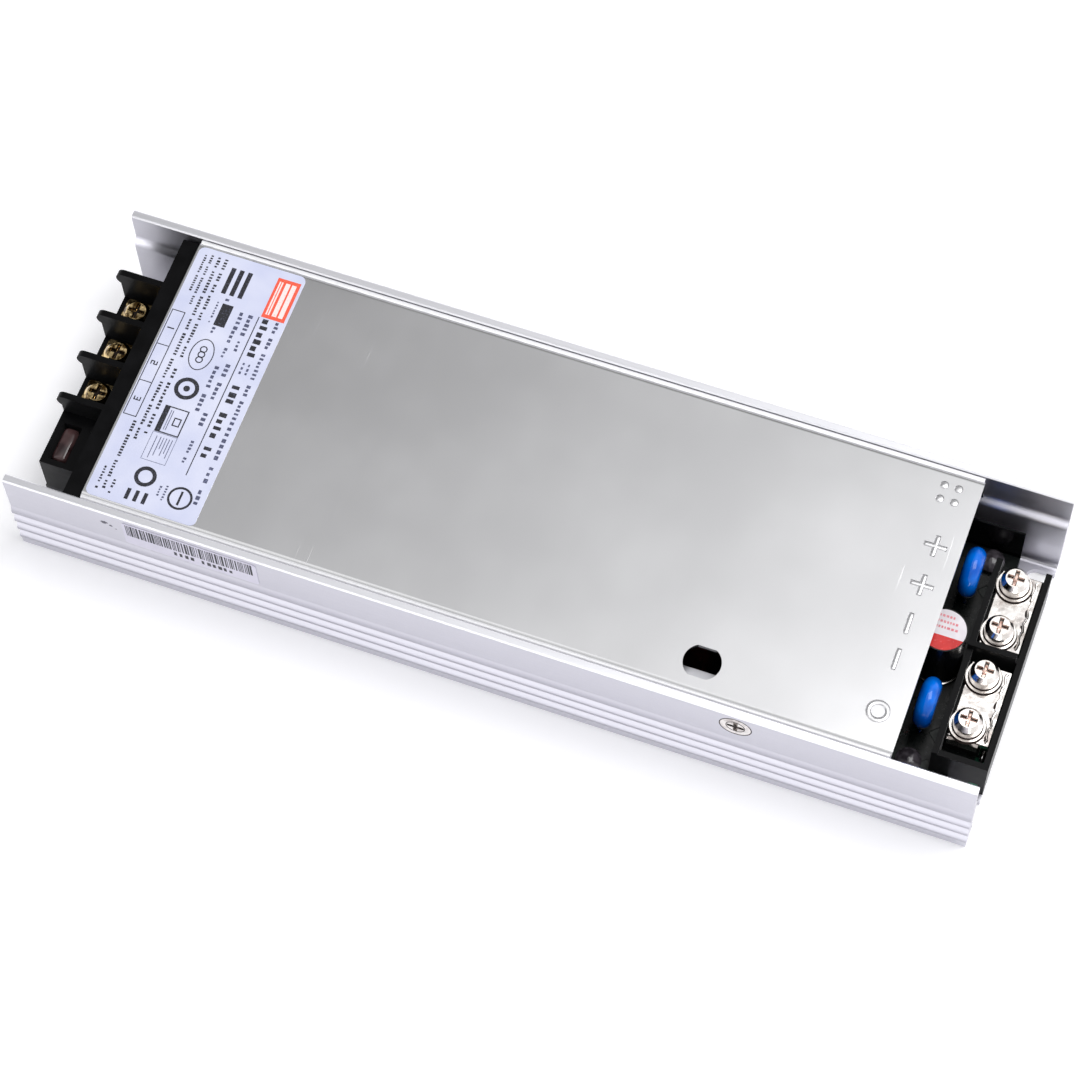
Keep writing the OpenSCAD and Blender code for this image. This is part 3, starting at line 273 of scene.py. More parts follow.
@dataclass(frozen=True)
class Tinplate(Finish):
    """Cold rolled steel with an electrolytic tin coat.

    Rolling leaves it almost a mirror with a fine grain across the sheet, so it
    reflects the room as soft bands, and handling leaves cloudy marks and hair
    scratches.
    """

    metallic: float = 1.0
    coarse_mm: float = 24
    fine_mm: float = 0.3
    grain_stretch: Point = (1, 0.03, 1)
    hair_mm: float = 0.45
    hair_stretch: Point = (1, 0.035, 1)
    hair_turn_deg: float = 24
    hair_at: Span = (0.70, 0.76)
    patch_mm: float = 19
    patch_at: Span = (0.60, 0.72)
    grain_tone: float = 0.15
    hair_tone: float = 0.25
    hair_roughness: float = 0.12
    tone_at: Span = (0.4, 0.9)
    gloss_at: Span = (0.5, 0.9)
    gloss_by: Span = (-0.02, 0.03)
    depth_mm: float = 0.0002

    def pattern(self, tree: Tree, place: Socket) -> Look:
        """Draws the rolling grain, cloudy handling marks and a few hair scratches.

        Args:
            tree: the material's node tree.
            place: where each point of the surface is, in metres.

        Returns:
            The nodes that give its colour, its roughness and its bump.
        """
        across = add_node(tree, "Mapping", {"Scale": self.grain_stretch}, Vector=place)
        turned = add_node(tree, "Mapping", {"Rotation": (0, 0, math.radians(self.hair_turn_deg)),
                                            "Scale": self.hair_stretch}, Vector=place)
        grain, clouds, hairs, patches = (
            add_node(tree, "TexNoise", {"Scale": MM_PER_M / size, "Detail": detail}, Vector=source)
            for size, detail, source in ((self.fine_mm, 3, across), (self.coarse_mm, 3, place),
                                         (self.hair_mm, 1, turned), (self.patch_mm, 0, place)))
        thin, here = (add_node(tree, "MapRange", {"From Min": low, "From Max": high}, Value=value)
                      for (low, high), value in ((self.hair_at, hairs), (self.patch_at, patches)))
        scratch = add_node(tree, "Math", {"operation": "MULTIPLY"}, i0=thin, i1=here)
        tone = add_node(tree, "Math", {"operation": "MULTIPLY_ADD", 1: self.grain_tone}, i0=grain, i2=clouds)
        tone = add_node(tree, "Math", {"operation": "MULTIPLY_ADD", 1: self.hair_tone}, i0=scratch, i2=tone)
        colour, base, bump = self.look(tree, tone, tone, grain)
        rough = add_node(tree, "Math", {"operation": "MULTIPLY_ADD", 1: self.hair_roughness}, i0=scratch, i2=base)
        return colour, rough, bump


@dataclass(frozen=True)
class PlatedMetal(Finish):
    """Stamped or turned metal with a bright electroplated coat.

    The fine grain is the orange peel of its blank, which makes reflections
    wobble. The coarse one is the duller, warmer spots of handling and heat.
    Where the shade is near black, as on the yellow zinc and the contacts, the
    spots are painted reflection and shade instead.
    """

    metallic: float = 1.0
    coarse_mm: float = 1.8
    coarse_detail: int = 3
    fine_mm: float = 0.8
    tone_at: Span = (0.34, 0.55)
    gloss_at: Span = (0.3, 0.65)
    gloss_by: Span = (0.12, 0.0)
    gloss_follows: Grain = Grain.COARSE
    depth_mm: float = 0.012


@dataclass(frozen=True)
class Moulding(Finish):
    """Moulded plastic, phenolic, epoxy or pressed ferrite, from a finely sparked mould.

    The fine grain is the spark texture, which gives the eye a soft sheen on
    edges. The coarse one is the filler, which mottles it slightly.
    """

    coarse_mm: float = 3.2
    coarse_detail: int = 3
    tone_at: Span = (0.7, 0.35)
    gloss_by: Span = (-0.05, 0.07)
    gloss_follows: Grain = Grain.COARSE
    depth_mm: float = 0.006


@dataclass(frozen=True)
class GlossySkin(Finish):
    """A thin glossy skin: calendered film, shrunk sleeve, lacquer or dipped epoxy.

    It is mirror smooth close up but follows slow waves, so highlights bend, and
    its depth of colour changes where it runs thick. The fine grain is faint
    scuffs. Where a lower shade colour is given, the skin is painted darker
    towards its lower end, as painted shade.
    """

    coarse_mm: float = 2.5
    coarse_detail: int = 1
    fine_mm: float = 0.7
    fine_detail: int = 3
    tone_at: Span = (0.35, 0.65)
    gloss_at: Span = (0.35, 0.75)
    gloss_by: Span = (0.0, 0.08)
    relief_follows: Grain = Grain.COARSE
    depth_mm: float = 0.02
    lower_shade: str = ""
    lower_shade_z: Span = (10.5, 16.0)

    def pattern(self, tree: Tree, place: Socket) -> Look:
        """Draws the waves, the scuffs, and a painted shade that darkens the lower end.

        Args:
            tree: the material's node tree.
            place: where each point of the surface is, in metres.

        Returns:
            The nodes that give its colour, its roughness and its bump.
        """
        colour, rough, bump = super().pattern(tree, place)
        # painted shade: darker towards the lower end
        if self.lower_shade:
            low, high = self.lower_shade_z
            spot = add_node(tree, "SeparateXYZ", Vector=place)
            thin = add_node(tree, "MapRange", {"From Min": low / MM_PER_M, "From Max": high / MM_PER_M},
                            Value=spot.outputs["Z"])
            colour = add_node(tree, "MixRGB", {"Color1": linear(self.lower_shade)}, Fac=thin, Color2=colour)
        return colour, rough, bump


@dataclass(frozen=True)
class SolderMask(Finish):
    """Epoxy glass laminate under green solder mask.

    Copper tracks stand 0.035 mm proud under the mask and look lighter than the
    bare laminate between them, so the shade is the tracks' colour. The board is
    drawn near black up to the output bars' legs, and only the strip past that
    shows green.
    """

    cell_mm: float = 3.84
    copper_at: Span = (0.44, 0.48)
    fine_mm: float = 0.9
    tone_at: Span = (0.9, 0.2)
    gloss_by: Span = (-0.05, 0.08)
    depth_mm: float = 0.035
    near_black: str = "#050a09"
    near_black_track: str = "#0c1a15"
    near_black_ends: Span = (85.9, 86.2)

    def pattern(self, tree: Tree, place: Socket) -> Look:
        """Draws square-cornered copper areas under the mask, its dust, and the near black part of the board.

        Args:
            tree: the material's node tree.
            place: where each point of the surface is, in metres.

        Returns:
            The nodes that give its colour, its roughness and its bump.
        """
        cells = add_node(tree, "TexVoronoi", {"distance": "MANHATTAN", "Scale": MM_PER_M / self.cell_mm}, Vector=place)
        dust = add_node(tree, "TexNoise", {"Scale": MM_PER_M / self.fine_mm, "Detail": 2}, Vector=place)
        copper = add_node(tree, "MapRange", {"From Min": self.copper_at[0], "From Max": self.copper_at[1],
                                             "To Min": 1.0, "To Max": 0.0}, Value=cells)
        green, rough, bump = self.look(tree, copper, dust, copper)
        low, high = self.near_black_ends
        bare = add_node(tree, "MapRange", {"From Min": low / MM_PER_M, "From Max": high / MM_PER_M},
                        Value=add_node(tree, "SeparateXYZ", Vector=place))
        dark = add_node(tree, "ValToRGB", {"ramp": sorted(zip(self.tone_at, (self.near_black_track, self.near_black)))},
                        Fac=copper)
        return add_node(tree, "MixRGB", Fac=bare, Color1=dark, Color2=green), rough, bump


@dataclass(frozen=True)
class LabelStock(Finish):
    """Coated polyester label stock under a satin laminate.

    The coarse grain is faint clouds of tone in the base, and the fine one is the
    laminate's light orange peel.
    """

    coarse_mm: float = 7
    fine_mm: float = 0.8
    fine_detail: int = 1
    gloss_by: Span = (-0.03, 0.05)
    depth_mm: float = 0.003


@dataclass(frozen=True)
class RibbonInk(Finish):
    """Thermal transfer ink: matt, and thinner in specks where the ribbon skipped."""

    coarse_mm: float = 0.3
    tone_at: Span = (0.3, 0.45)
    depth_mm: float = 0.001


@dataclass(frozen=True)
class WoundWire(Finish):
    """Enamelled copper wire, with clear amber enamel over bright drawn copper.

    The coarse grain is the enamel's uneven depth, and the fine one the wire's
    drawn skin.
    """

    metallic: float = 1.0
    coarse_mm: float = 2.2
    fine_mm: float = 0.35
    tone_at: Span = (0.3, 0.65)


# metals
ANODISED = AnodisedExtrusion("clear_anodised_aluminium", "#cccbd3", "#c1c0c9", 0.36)
MILL_ALUMINIUM = AnodisedExtrusion("mill_finish_aluminium", "#bcbcc0", "#a8a8ad", 0.34)
TINPLATE = Tinplate("bright_tinplate", "#d8d8da", "#cfcfd1", 0.20)
# the coining work-hardens the tin and leaves it brighter and finely matt
COINED_TIN = PlatedMetal("coined_tinplate", "#dadadc", "#cdcdcf", 0.24, depth_mm=0.002)
# painted highlight: the beads along the cover's bends get a paler, half metallic tin that stands in for the light the
# bends catch
BEND_HIGHLIGHT_TIN = PlatedMetal("tinplate_painted_bend_highlight", "#f4f4f6", "#ececee", 0.30, 0.5, depth_mm=0.002)
NICKEL = PlatedMetal("nickel_plated_brass", "#f3eeea", "#d6cfca", 0.12)
ZINC_STEEL = PlatedMetal("zinc_plated_steel", "#e8e3e0", "#b9b1ae", 0.16)
# painted reflection: the near-black shade and bright gold spots on the input screws and clamp plates stand in for dark
# reflections and glints over the yellow plating
YELLOW_ZINC = PlatedMetal("yellow_zinc_and_painted_glints", "#ecd09a", "#4d3a1e", 0.13, coarse_mm=1.2, fine_mm=1.3,
                          tone_at=(0.42, 0.60), depth_mm=0.14)
# painted shade: the contacts deep in the bays are drawn near black
SHADED_CONTACT = PlatedMetal("contact_brass_painted_shade", "#1b1612", "#0b0907", 0.45)
BAR_NICKEL = PlatedMetal("nickel_plated_pressed_bar", "#efebe8", "#a8a09c", 0.09, coarse_mm=2.4, fine_mm=2.8,
                         depth_mm=0.11)
# painted reflection: the pink nickel in the output screws' recesses stands in for warm reflections on their walls
RECESS_REFLECTION = PlatedMetal("recess_painted_warm_reflection", "#e2c4b8", "#8c6c62", 0.16, coarse_mm=0.7, depth_mm=0.04)
SOLDER = PlatedMetal("reflowed_tin_solder", "#ebe9ea", "#c9c6c8", 0.12, depth_mm=0.02)
# moulded and pressed
BLACK_PBT = Moulding("black_glass_filled_pbt", "#030304", "#08080a", 0.34, specular=0.10, sheen=0.12)
BLACK_PHENOLIC = Moulding("black_phenolic_bobbin", "#101012", "#141416", 0.45, specular=0.3)
PACKAGE = Moulding("black_moulding_compound", "#131315", "#141416", 0.55, specular=0.3, fine_mm=0.2)
FERRITE = Moulding("pressed_ferrite", "#2b2a2d", "#38373a", 0.62, fine_mm=0.4, depth_mm=0.02)
# painted shade: a near black finish for the screws' recesses, the rings round the heads and washers, and the painted
# dark reflection line on the output bars
PAINTED_SHADE = Moulding("painted_shade_in_recesses", "#1b1412", "#2c201d", 0.7, specular=0.2, fine_mm=0.2)
# skins
BLACK_FILM = GlossySkin("black_polyester_film", "#050506", "#0a0a0c", 0.10, specular=0.2, coarse_mm=7, depth_mm=0.15)
BLACK_SLEEVE = GlossySkin("black_shrunk_sleeve", "#0c0c0f", "#060607", 0.16, specular=0.35)
# painted shade: the discs' lower ends are drawn darker
BLUE_EPOXY = GlossySkin("blue_dipped_epoxy", "#0078f0", "#005ccc", 0.06, specular=0.4, coarse_mm=3.2, depth_mm=0.06,
                        lower_shade="#021c48")
GREEN_DIP = GlossySkin("dark_green_dipped_coat", "#26362d", "#18241d", 0.25, coarse_mm=1.2, depth_mm=0.05)
# painted shade: the resonant capacitor's red is drawn darker because it sits in shadow under the cover
RED_FILM = GlossySkin("red_dipped_film_painted_darker", "#551813", "#3a100d", 0.2, coarse_mm=2, depth_mm=0.05)
WHITE_LACQUER = GlossySkin("white_lacquered_aluminium", "#f0ecef", "#e2dce1", 0.28, depth_mm=0.006)
RED_LACQUER = GlossySkin("red_lacquered_aluminium", "#dc2a26", "#c41a1a", 0.22, depth_mm=0.006)
NATURAL_NYLON = GlossySkin("natural_nylon", "#e4dfd0", "#d8d2c0", 0.4)
SMOKE_NYLON = GlossySkin("smoke_grey_nylon", "#514c52", "#2c282d", 0.12, coarse_mm=1.5)
BROWN_CASE = GlossySkin("brown_fuse_case", "#5a4242", "#2a191b", 0.07, coarse_mm=3)
YELLOW_CASE = GlossySkin("yellow_box_case", "#dcb22f", "#c99f22", 0.32, coarse_mm=4)
YELLOW_TAPE = GlossySkin("yellow_polyester_tape", "#e0b52c", "#caa01f", 0.25, coarse_mm=1.6)
GREY_PAD = GlossySkin("grey_silicone_pad", "#8fa0a8", "#7f9098", 0.7, coarse_mm=0.8)
# boards, paper, ink and wire
GREEN_BOARD = SolderMask("green_solder_mask", "#14503a", "#2a7a5a", 0.3, specular=0.25)
LAVENDER_STOCK = LabelStock("lavender_label_stock", "#dcdff1", "#ccd1ea", 0.33)
GREY_STOCK = LabelStock("grey_sticker_stock", "#cfccdb", "#c6c3d2", 0.4)
BLACK_INK = RibbonInk("black_ink", "#15161f", "#4a4c60", 0.5)
GREY_INK = RibbonInk("grey_ink", "#4a4e68", "#7b80a0", 0.5)
ORANGE_INK = RibbonInk("orange_red_ink", "#f25a40", "#f4775f", 0.42)
WHITE_INK = RibbonInk("white_ink", "#fbe9e6", "#f6cdc6", 0.45)
PINK_INK = RibbonInk("pink_ink", "#e07f88", "#f0bcc1", 0.45)
DARK_SMUDGE = RibbonInk("grey_smudge", "#55535f", "#a5a3b0", 0.6)
COPPER_WIRE = WoundWire("enamelled_copper_wire", "#c0622a", "#6d2c10", 0.25)


class Slot(Enum):
    """The record's material slots for the pieces that are added here."""

    CHANNEL = "anodised_aluminium"
    TINNED = "tinned_steel"
    PLATED = "nickel_plate"
    LABEL = "printed_label"
    WHITE = "white_sticker"
    HOUSING = "black_housing"
    FUSE = "brown_case"
    RED = "red_film"


# ------------------------------------------------------------------ mesh work

def angles(steps: int, turn: float = 2 * math.pi, start: float = 0.0, ends: bool = False) -> list[float]:
    """Returns evenly spaced angles from the start of a turn, up to its end where ends is set."""
    return [start + turn * k / steps for k in range(steps + ends)]


def oval(a: float, b: float, radius_a: float, radius_b: float) -> list[Span]:
    """Returns the corners of an oval round (a, b)."""
    return [(a + radius_a * math.cos(t), b + radius_b * math.sin(t)) for t in angles(48)]


def bar(a0: float, b0: float, a1: float, b1: float) -> list[Span]:
    """Returns the corners of an upright rectangle."""
    return [(a0, b0), (a1, b0), (a1, b1), (a0, b1)]


def cross(a: float, b: float, half: float, arm: float) -> list[Span]:
    """Draws an upright cross.

    Args:
        a: its middle along the sheet.
        b: its middle across the sheet.
        half: half its length.
        arm: half the width of its arms.

    Returns:
        Its corners in order.
    """
    first = [(half, arm), (arm, arm), (arm, half)]
    upper = first + [(-x, y) for x, y in first[::-1]]
    return [(a + x, b + y) for x, y in upper + [(x, -y) for x, y in upper[::-1]]]


def skin(part: bmesh.types.BMesh, loops: Sequence[Sequence[bmesh.types.BMVert]]) -> None:
    """Joins each loop of points to the next with faces.

    Args:
        part: the mesh that the points belong to.
        loops: closed loops with as many points each, or with one where they close to a pole.
    """
    for first, second in zip(loops, loops[1:]):
        count = max(len(first), len(second))
        for i in range(count):
            j = (i + 1) % count
            corners = list(dict.fromkeys([first[i % len(first)], first[j % len(first)],
                                          second[j % len(second)], second[i % len(second)]]))
            if len(corners) > 2:
                part.faces.new(corners)


class Shape:
    """A mesh under construction, in millimetres."""

    weld: ClassVar[float] = 1e-5
    crisp_above_deg: ClassVar[float] = 35

    def __init__(self) -> None:
        """Starts with an empty mesh."""
        self.bm = bmesh.new()

    def take(self, part: bmesh.types.BMesh) -> "Shape":
        """Takes another mesh in, and frees it.

        Args:
            part: the other mesh.

        Returns:
            This shape.
        """
        bmesh.ops.recalc_face_normals(part, faces=part.faces)
        holder = bpy.data.meshes.new("part")
        part.to_mesh(holder)
        part.free()
        self.bm.from_mesh(holder)
        bpy.data.meshes.remove(holder)
        return self

    def slab(self, outline: Outline, thick: float, place: Sheet) -> "Shape":
        """Adds a thin slab.

        Args:
            outline: its corners on the sheet that it lies on.
            thick: how far it stands off the sheet.
            place: turns a corner and a height off the sheet into a point.

        Returns:
            This shape.
        """
        part = bmesh.new()
        low, high = ([part.verts.new(place(a, b, h)) for a, b in outline] for h in (0, thick))
        part.faces.new(low)
        part.faces.new(high[::-1])
        skin(part, [low, high])
        return self.take(part)

    def ring(self, outer: Outline, inner: Outline, thick: float, place: Sheet) -> "Shape":
        """Adds a thin ring.

        Args:
            outer: its outer corners on the sheet that it lies on.
            inner: as many inner corners.
            thick: how far it stands off the sheet.
            place: turns a corner and a height off the sheet into a point.

        Returns:
            This shape.
        """
        part = bmesh.new()
        loops = [[part.verts.new(place(a, b, h)) for a, b in line]
                 for line, h in ((outer, 0), (outer, thick), (inner, thick), (inner, 0))]
        skin(part, loops + loops[:1])
        return self.take(part)

    def spin(self, profile: Outline, centre: Point, sides: int, stretch: Span = (1, 1)) -> "Shape":
        """Adds an upright turned solid.

        Args:
            profile: its half section as (radius, height) points, from end to end.
            centre: where its axis and its height 0 are.
            sides: how many faces go round it.
            stretch: how far it is stretched across its axis, each way.

        Returns:
            This shape.
        """
        part = bmesh.new()
        skin(part, [[part.verts.new((stretch[0] * r * math.cos(t), stretch[1] * r * math.sin(t), h))
                     for t in angles(sides if r else 1)] for r, h in profile])
        bmesh.ops.remove_doubles(part, verts=part.verts, dist=self.weld)
        bmesh.ops.transform(part, verts=part.verts, matrix=Matrix.Translation(centre))
        return self.take(part)

    def block(self, low: Point, high: Point, bevel: float) -> "Shape":
        """Adds a block with rounded edges.

        Args:
            low: its lowest corner.
            high: its highest corner.
            bevel: how far its edges are rounded.

        Returns:
            This shape.
        """
        part = bmesh.new()
        bmesh.ops.create_cube(part, size=1)
        size = [b - a for a, b in zip(low, high)]
        middle = [(a + b) / 2 for a, b in zip(low, high)]
        bmesh.ops.transform(part, verts=part.verts, matrix=Matrix.Translation(middle) @ Matrix.Diagonal((*size, 1)))
        bmesh.ops.bevel(part, geom=part.edges[:], offset=bevel, segments=3, profile=0.5, affect="EDGES")
        return self.take(part)

    def tube(self, path: Sequence[Point], radius: float, closed: bool = False, sides: int = 10) -> "Shape":
        """Adds a round wire.

        Args:
            path: the points along its middle.
            radius: its radius.
            closed: whether its ends join.
            sides: how many faces go round it.

        Returns:
            This shape.
        """
        points = [Vector(p) for p in path]
        count = len(points)
        part = bmesh.new()
        loops: list[list[bmesh.types.BMVert]] = []
        side = None
        for i, point in enumerate(points):
            before = points[i - 1] if closed or i else point
            after = points[(i + 1) % count] if closed or i < count - 1 else point
            ahead = (after - before).normalized()
            side = ahead.orthogonal() if side is None else side - ahead * side.dot(ahead)
            side = side.normalized()
            other = ahead.cross(side)
            loops.append([part.verts.new(point + radius * (side * math.cos(t) + other * math.sin(t)))
                          for t in angles(sides)])
        skin(part, loops + loops[:1] if closed else loops)
        if not closed:
            part.faces.new(loops[0][::-1])
            part.faces.new(loops[-1])
        return self.take(part)

    def piece(self, name: str, finish: Finish, slot: Slot, replaces: Sequence[str] = ()) -> bpy.types.Object:
        """Turns the shape into a finished piece of the object.

        Args:
            name: the piece's name.
            finish: what it is made of.
            slot: the record's material slot for it; not used.
            replaces: the frame's nodes that it stands for.

        Returns:
            The new object, which rides on the root body.
        """
        bmesh.ops.transform(self.bm, verts=self.bm.verts, matrix=Matrix.Scale(1 / MM_PER_M, 4))
        mesh = bpy.data.meshes.new(name)
        self.bm.to_mesh(mesh)
        self.bm.free()
        mesh.polygons.foreach_set("use_smooth", [True] * len(mesh.polygons))
        mesh.set_sharp_from_angle(angle=math.radians(self.crisp_above_deg))
        mesh.materials.append(finish.material())
        obj = bpy.data.objects.new(name, mesh)
        bpy.context.scene.collection.objects.link(obj)
        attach(obj, ROOT)
        if replaces:
            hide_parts(*replaces)
        LOG.info("piece %s: %s, %d faces", name, finish.name, len(mesh.polygons))
        return obj


def numbered(stem: str, count: int, finish: Finish) -> dict[str, Finish]:
    """Returns one finish for the nodes stem_1, stem_2 and so on."""
    return {f"{stem}_{i}": finish for i in range(1, count + 1)}


@dataclass
class SubAssembly:
    """Pieces that are fitted together, with the finish of each of the frame's nodes among them."""

    name: ClassVar[str] = "sub-assembly"
    finishes: ClassVar[dict[str, Finish]] = {}

    def pieces(self) -> None:
        """Builds the pieces that the frame doesn't hold."""

    def build(self) -> set[str]:
        """Dresses the nodes and builds the pieces.

        Returns:
            The names of the nodes that are dressed.
        """
        for node, finish in self.finishes.items():
            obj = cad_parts[node]
            if not obj.material_slots:
                obj.data.materials.append(None)
            for place in obj.material_slots:
                place.material = finish.material()
        self.pieces()
        LOG.info("%s: %d nodes dressed", self.name, len(self.finishes))
        return set(self.finishes)


# ------------------------------------------------------------------ enclosure

@dataclass
class Enclosure(SubAssembly):
    """The extruded channel, its folded cover, and the screws and films between them."""

    name: ClassVar[str] = "enclosure"
    finishes: ClassVar[dict[str, Finish]] = {
        "chassis": ANODISED, "cover": TINPLATE, "cover_screws": ZINC_STEEL, "top_insulator": BLACK_FILM,
        "base_insulator": BLACK_FILM}
    band_y: float = 29.65
    stamp_x: float = 68.8
    stamp_half: float = 1.65
    stamp_floor_z: float = 23.25
    stamp_foot: float = 0.128
    stamp_rise: float = 0.192
    dot_r: float = 0.71
    ridge_reach: float = 0.43
    ridge_weld: float = 1e-3
    plus_ys: Point = (12.5, 4.6)
    minus_ys: Point = (-3.1, -10.2)
    ring_y: float = -20.4
    dots: Outline = ((66.8, 21.6), (66.8, 24.4), (69.4, 21.6), (69.4, 24.4))
    bend_xs: Span = (-74.8, 73.2)
    bend_y: float = 27.56
    bend_z: float = 23.36
    bend_r: float = 0.42
    bend_steps: int = 24
    cover_screw: Span = (46.7, 19.9)
    # the dark rings of painted shade round each countersunk head: their outer and inner radii, and their height
    seam_radii: Outline = ((2.95, 2.78), (1.75, 1.62))
    seam_h: float = 0.02
    recess_cross: Span = (0.95, 0.2)
    recess_deep: float = 0.03
    smudges: Sequence[Point] = ((-70.0, 20.4, 0.85), (-68.8, 19.9, 0.45), (-67.9, 19.1, 0.25))
    smudge_x: Span = (0.55, 1)
    smudge_z: Span = (0.4, 0.8)
    smudge_h: float = 0.01

    def pieces(self) -> None:
        """Adds the cover's stamped marks, the painted highlight on its bends, the painted shade at the screws and the
        near wall's rub mark.
        """
        self.stamps()
        self.bends()
        self.screw_seams()
        self.rub_mark()

    def wall(self, side: int, sunk: float = 0.0) -> Sheet:
        """Returns the sheet on one wall's plain band, or one sunk into it, with X and Z on it."""
        return lambda a, b, h: (a, side * (self.band_y - sunk + h), b)

    def rise(self, t: float) -> float:
        """Returns how high a stamped mark's rounded side stands at an angle up it."""
        return self.stamp_foot + self.stamp_rise * math.sin(t)

    def ridge(self, shape: Shape, start: Point, end: Point) -> None:
        """Adds a half round ridge in a stamped recess.

        Args:
            shape: what the ridge is added to.
            start: where it starts.
            end: where it ends.
        """
        ahead = math.atan2(end[1] - start[1], end[0] - start[0])
        part = bmesh.new()
        rows = []
        for t in angles(6, math.pi / 2, ends=True):
            reach = self.ridge_reach * math.cos(t)
            rows.append([part.verts.new((x + reach * math.cos(a), y + reach * math.sin(a),
                                         self.stamp_floor_z + self.rise(t)))
                         for (x, y), first in ((end, ahead - math.pi / 2), (start, ahead + math.pi / 2))
                         for a in angles(8, math.pi, first, ends=True)])
        skin(part, rows)
        part.faces.new(rows[0][::-1])
        bmesh.ops.remove_doubles(part, verts=part.verts, dist=self.ridge_weld)
        shape.take(part)

    def stamps(self) -> None:
        """Raises a soft ridge in each stamped mark: dots, two plus bars, two minus bars and a ring."""
        coined = Shape()
        x, half = self.stamp_x, self.stamp_half
        for y in self.plus_ys + self.minus_ys:
            self.ridge(coined, (x, y - half), (x, y + half))
        for y in self.plus_ys:
            self.ridge(coined, (x - half, y), (x + half, y))
        dome = [(self.dot_r * math.cos(t), self.rise(t)) for t in angles(6, math.pi / 2)]
        for dot in self.dots:
            coined.spin([(0, self.rise(0)), *dome, (0, self.rise(math.pi / 2))], (*dot, self.stamp_floor_z), 24)
        crown = [(half - self.ridge_reach * math.cos(t), self.rise(t)) for t in angles(12, math.pi, ends=True)]
        coined.spin([*crown, crown[0]], (x, self.ring_y, self.stamp_floor_z), 64)
        coined.piece("cover_stamped_marks", COINED_TIN, Slot.TINNED)

    def bends(self) -> None:
        """Adds a soft bead along each of the cover's two bends, in a paler tin that is a painted highlight."""
        beads = Shape()
        x0, x1 = self.bend_xs
        xs = [x0 + (x1 - x0) * k / self.bend_steps for k in range(self.bend_steps + 1)]
        for side in (-1, 1):
            beads.tube([(x, side * self.bend_y, self.bend_z) for x in xs], self.bend_r, sides=14)
        beads.piece("cover_bend_highlight_beads", BEND_HIGHLIGHT_TIN, Slot.TINNED)

    def screw_seams(self) -> None:
        """Adds painted shade at each countersunk head: two dark rings round it, and a dark cross in its recess."""
        seams = Shape()
        x, z = self.cover_screw
        for side in (-1, 1):
            for outer, inner in self.seam_radii:
                seams.ring(oval(x, z, outer, outer), oval(x, z, inner, inner), self.seam_h, self.wall(side))
            seams.slab(cross(x, z, *self.recess_cross), self.recess_deep, self.wall(side, self.recess_deep))
        seams.piece("cover_screw_painted_shade", PAINTED_SHADE, Slot.TINNED)

    def rub_mark(self) -> None:
        """Leaves a small grey rub mark on the near wall's band."""
        rng = random.Random(SEED)
        rub = Shape()
        for x, z, size in self.smudges:
            edge = [(x + size * rng.uniform(*self.smudge_x) * math.cos(t),
                     z + size * rng.uniform(*self.smudge_z) * math.sin(t)) for t in angles(14)]
            rub.slab(edge, self.smudge_h, self.wall(-1))
        rub.piece("near_wall_rub_mark", DARK_SMUDGE, Slot.CHANNEL)


# ------------------------------------------------------------------ printed sheets

@dataclass
class PrintedSheet(SubAssembly):
    """A label with generic print: rows of blank dashes, bars, rings and frames.

    Sizes on the sheet are millimetres from its first corner: a along its
    lines, and b down the sheet.
    """

    ink: float = 0.02
    word: tuple[int, int] = (3, 8)
    dash: Span = (0.45, 0.72)
    room: float = 0.6
    falls: Point = (0.0, 0.0, 0.25)
    rng: random.Random = field(default_factory=lambda: random.Random(SEED))

    def place(self, a: float, b: float, h: float) -> Point:
        """Returns the point that lies h off the sheet at (a, b)."""
        raise NotImplementedError

    def row(self, shape: Shape, a0: float, a1: float, b0: float, b1: float, pitch: float) -> None:
        """Adds a row of dashes that stands for a line of small print.

        Args:
            shape: what the dashes are added to.
            a0: where the row starts.
            a1: where it ends.
            b0: its upper edge.
            b1: its lower edge.
            pitch: the length that one character takes.
        """
        a = a0
        word = self.rng.randint(*self.word)
        while a + pitch * self.room < a1:
            if word:
                fall = (b1 - b0) * self.rng.choice(self.falls)
                shape.slab(bar(a, b0 + fall, a + pitch * self.rng.uniform(*self.dash), b1), self.ink, self.place)
            word = word - 1 if word else self.rng.randint(*self.word)
            a += pitch

    def print_piece(self, name: str, finish: Finish, slot: Slot, bars: Sequence[Point], rows: Sequence[Point] = (),
                    frames: Sequence[Point] = (), rings: Sequence[Point] = (), coats: int = 1) -> None:
        """Prints everything of one ink.

        Args:
            name: the piece's name.
            finish: the ink.
            slot: the record's material slot for it.
            bars: rectangles, each from corner to corner.
            rows: rows of dashes, each as row() takes them.
            frames: outlines of rectangles, each from corner to corner and with its line's width.
            rings: ovals: the middle, the radius, the line's width (as wide as the radius for a
                disc) and how far it is squashed down the sheet.
            coats: how many coats the bars get.
        """
        shape = Shape()
        for row in rows:
            self.row(shape, *row)
        for corners in bars:
            shape.slab(bar(*corners), self.ink * coats, self.place)
        for a0, b0, a1, b1, line in frames:
            shape.ring(bar(a0, b0, a1, b1), bar(a0 + line, b0 + line, a1 - line, b1 - line), self.ink, self.place)
        for a, b, radius, line, squash in rings:
            outer = oval(a, b, radius, radius * squash)
            if line < radius:
                shape.ring(outer, oval(a, b, radius - line, radius * squash - line), self.ink, self.place)
            else:
                shape.slab(outer, self.ink, self.place)
        shape.piece(name, finish, slot)


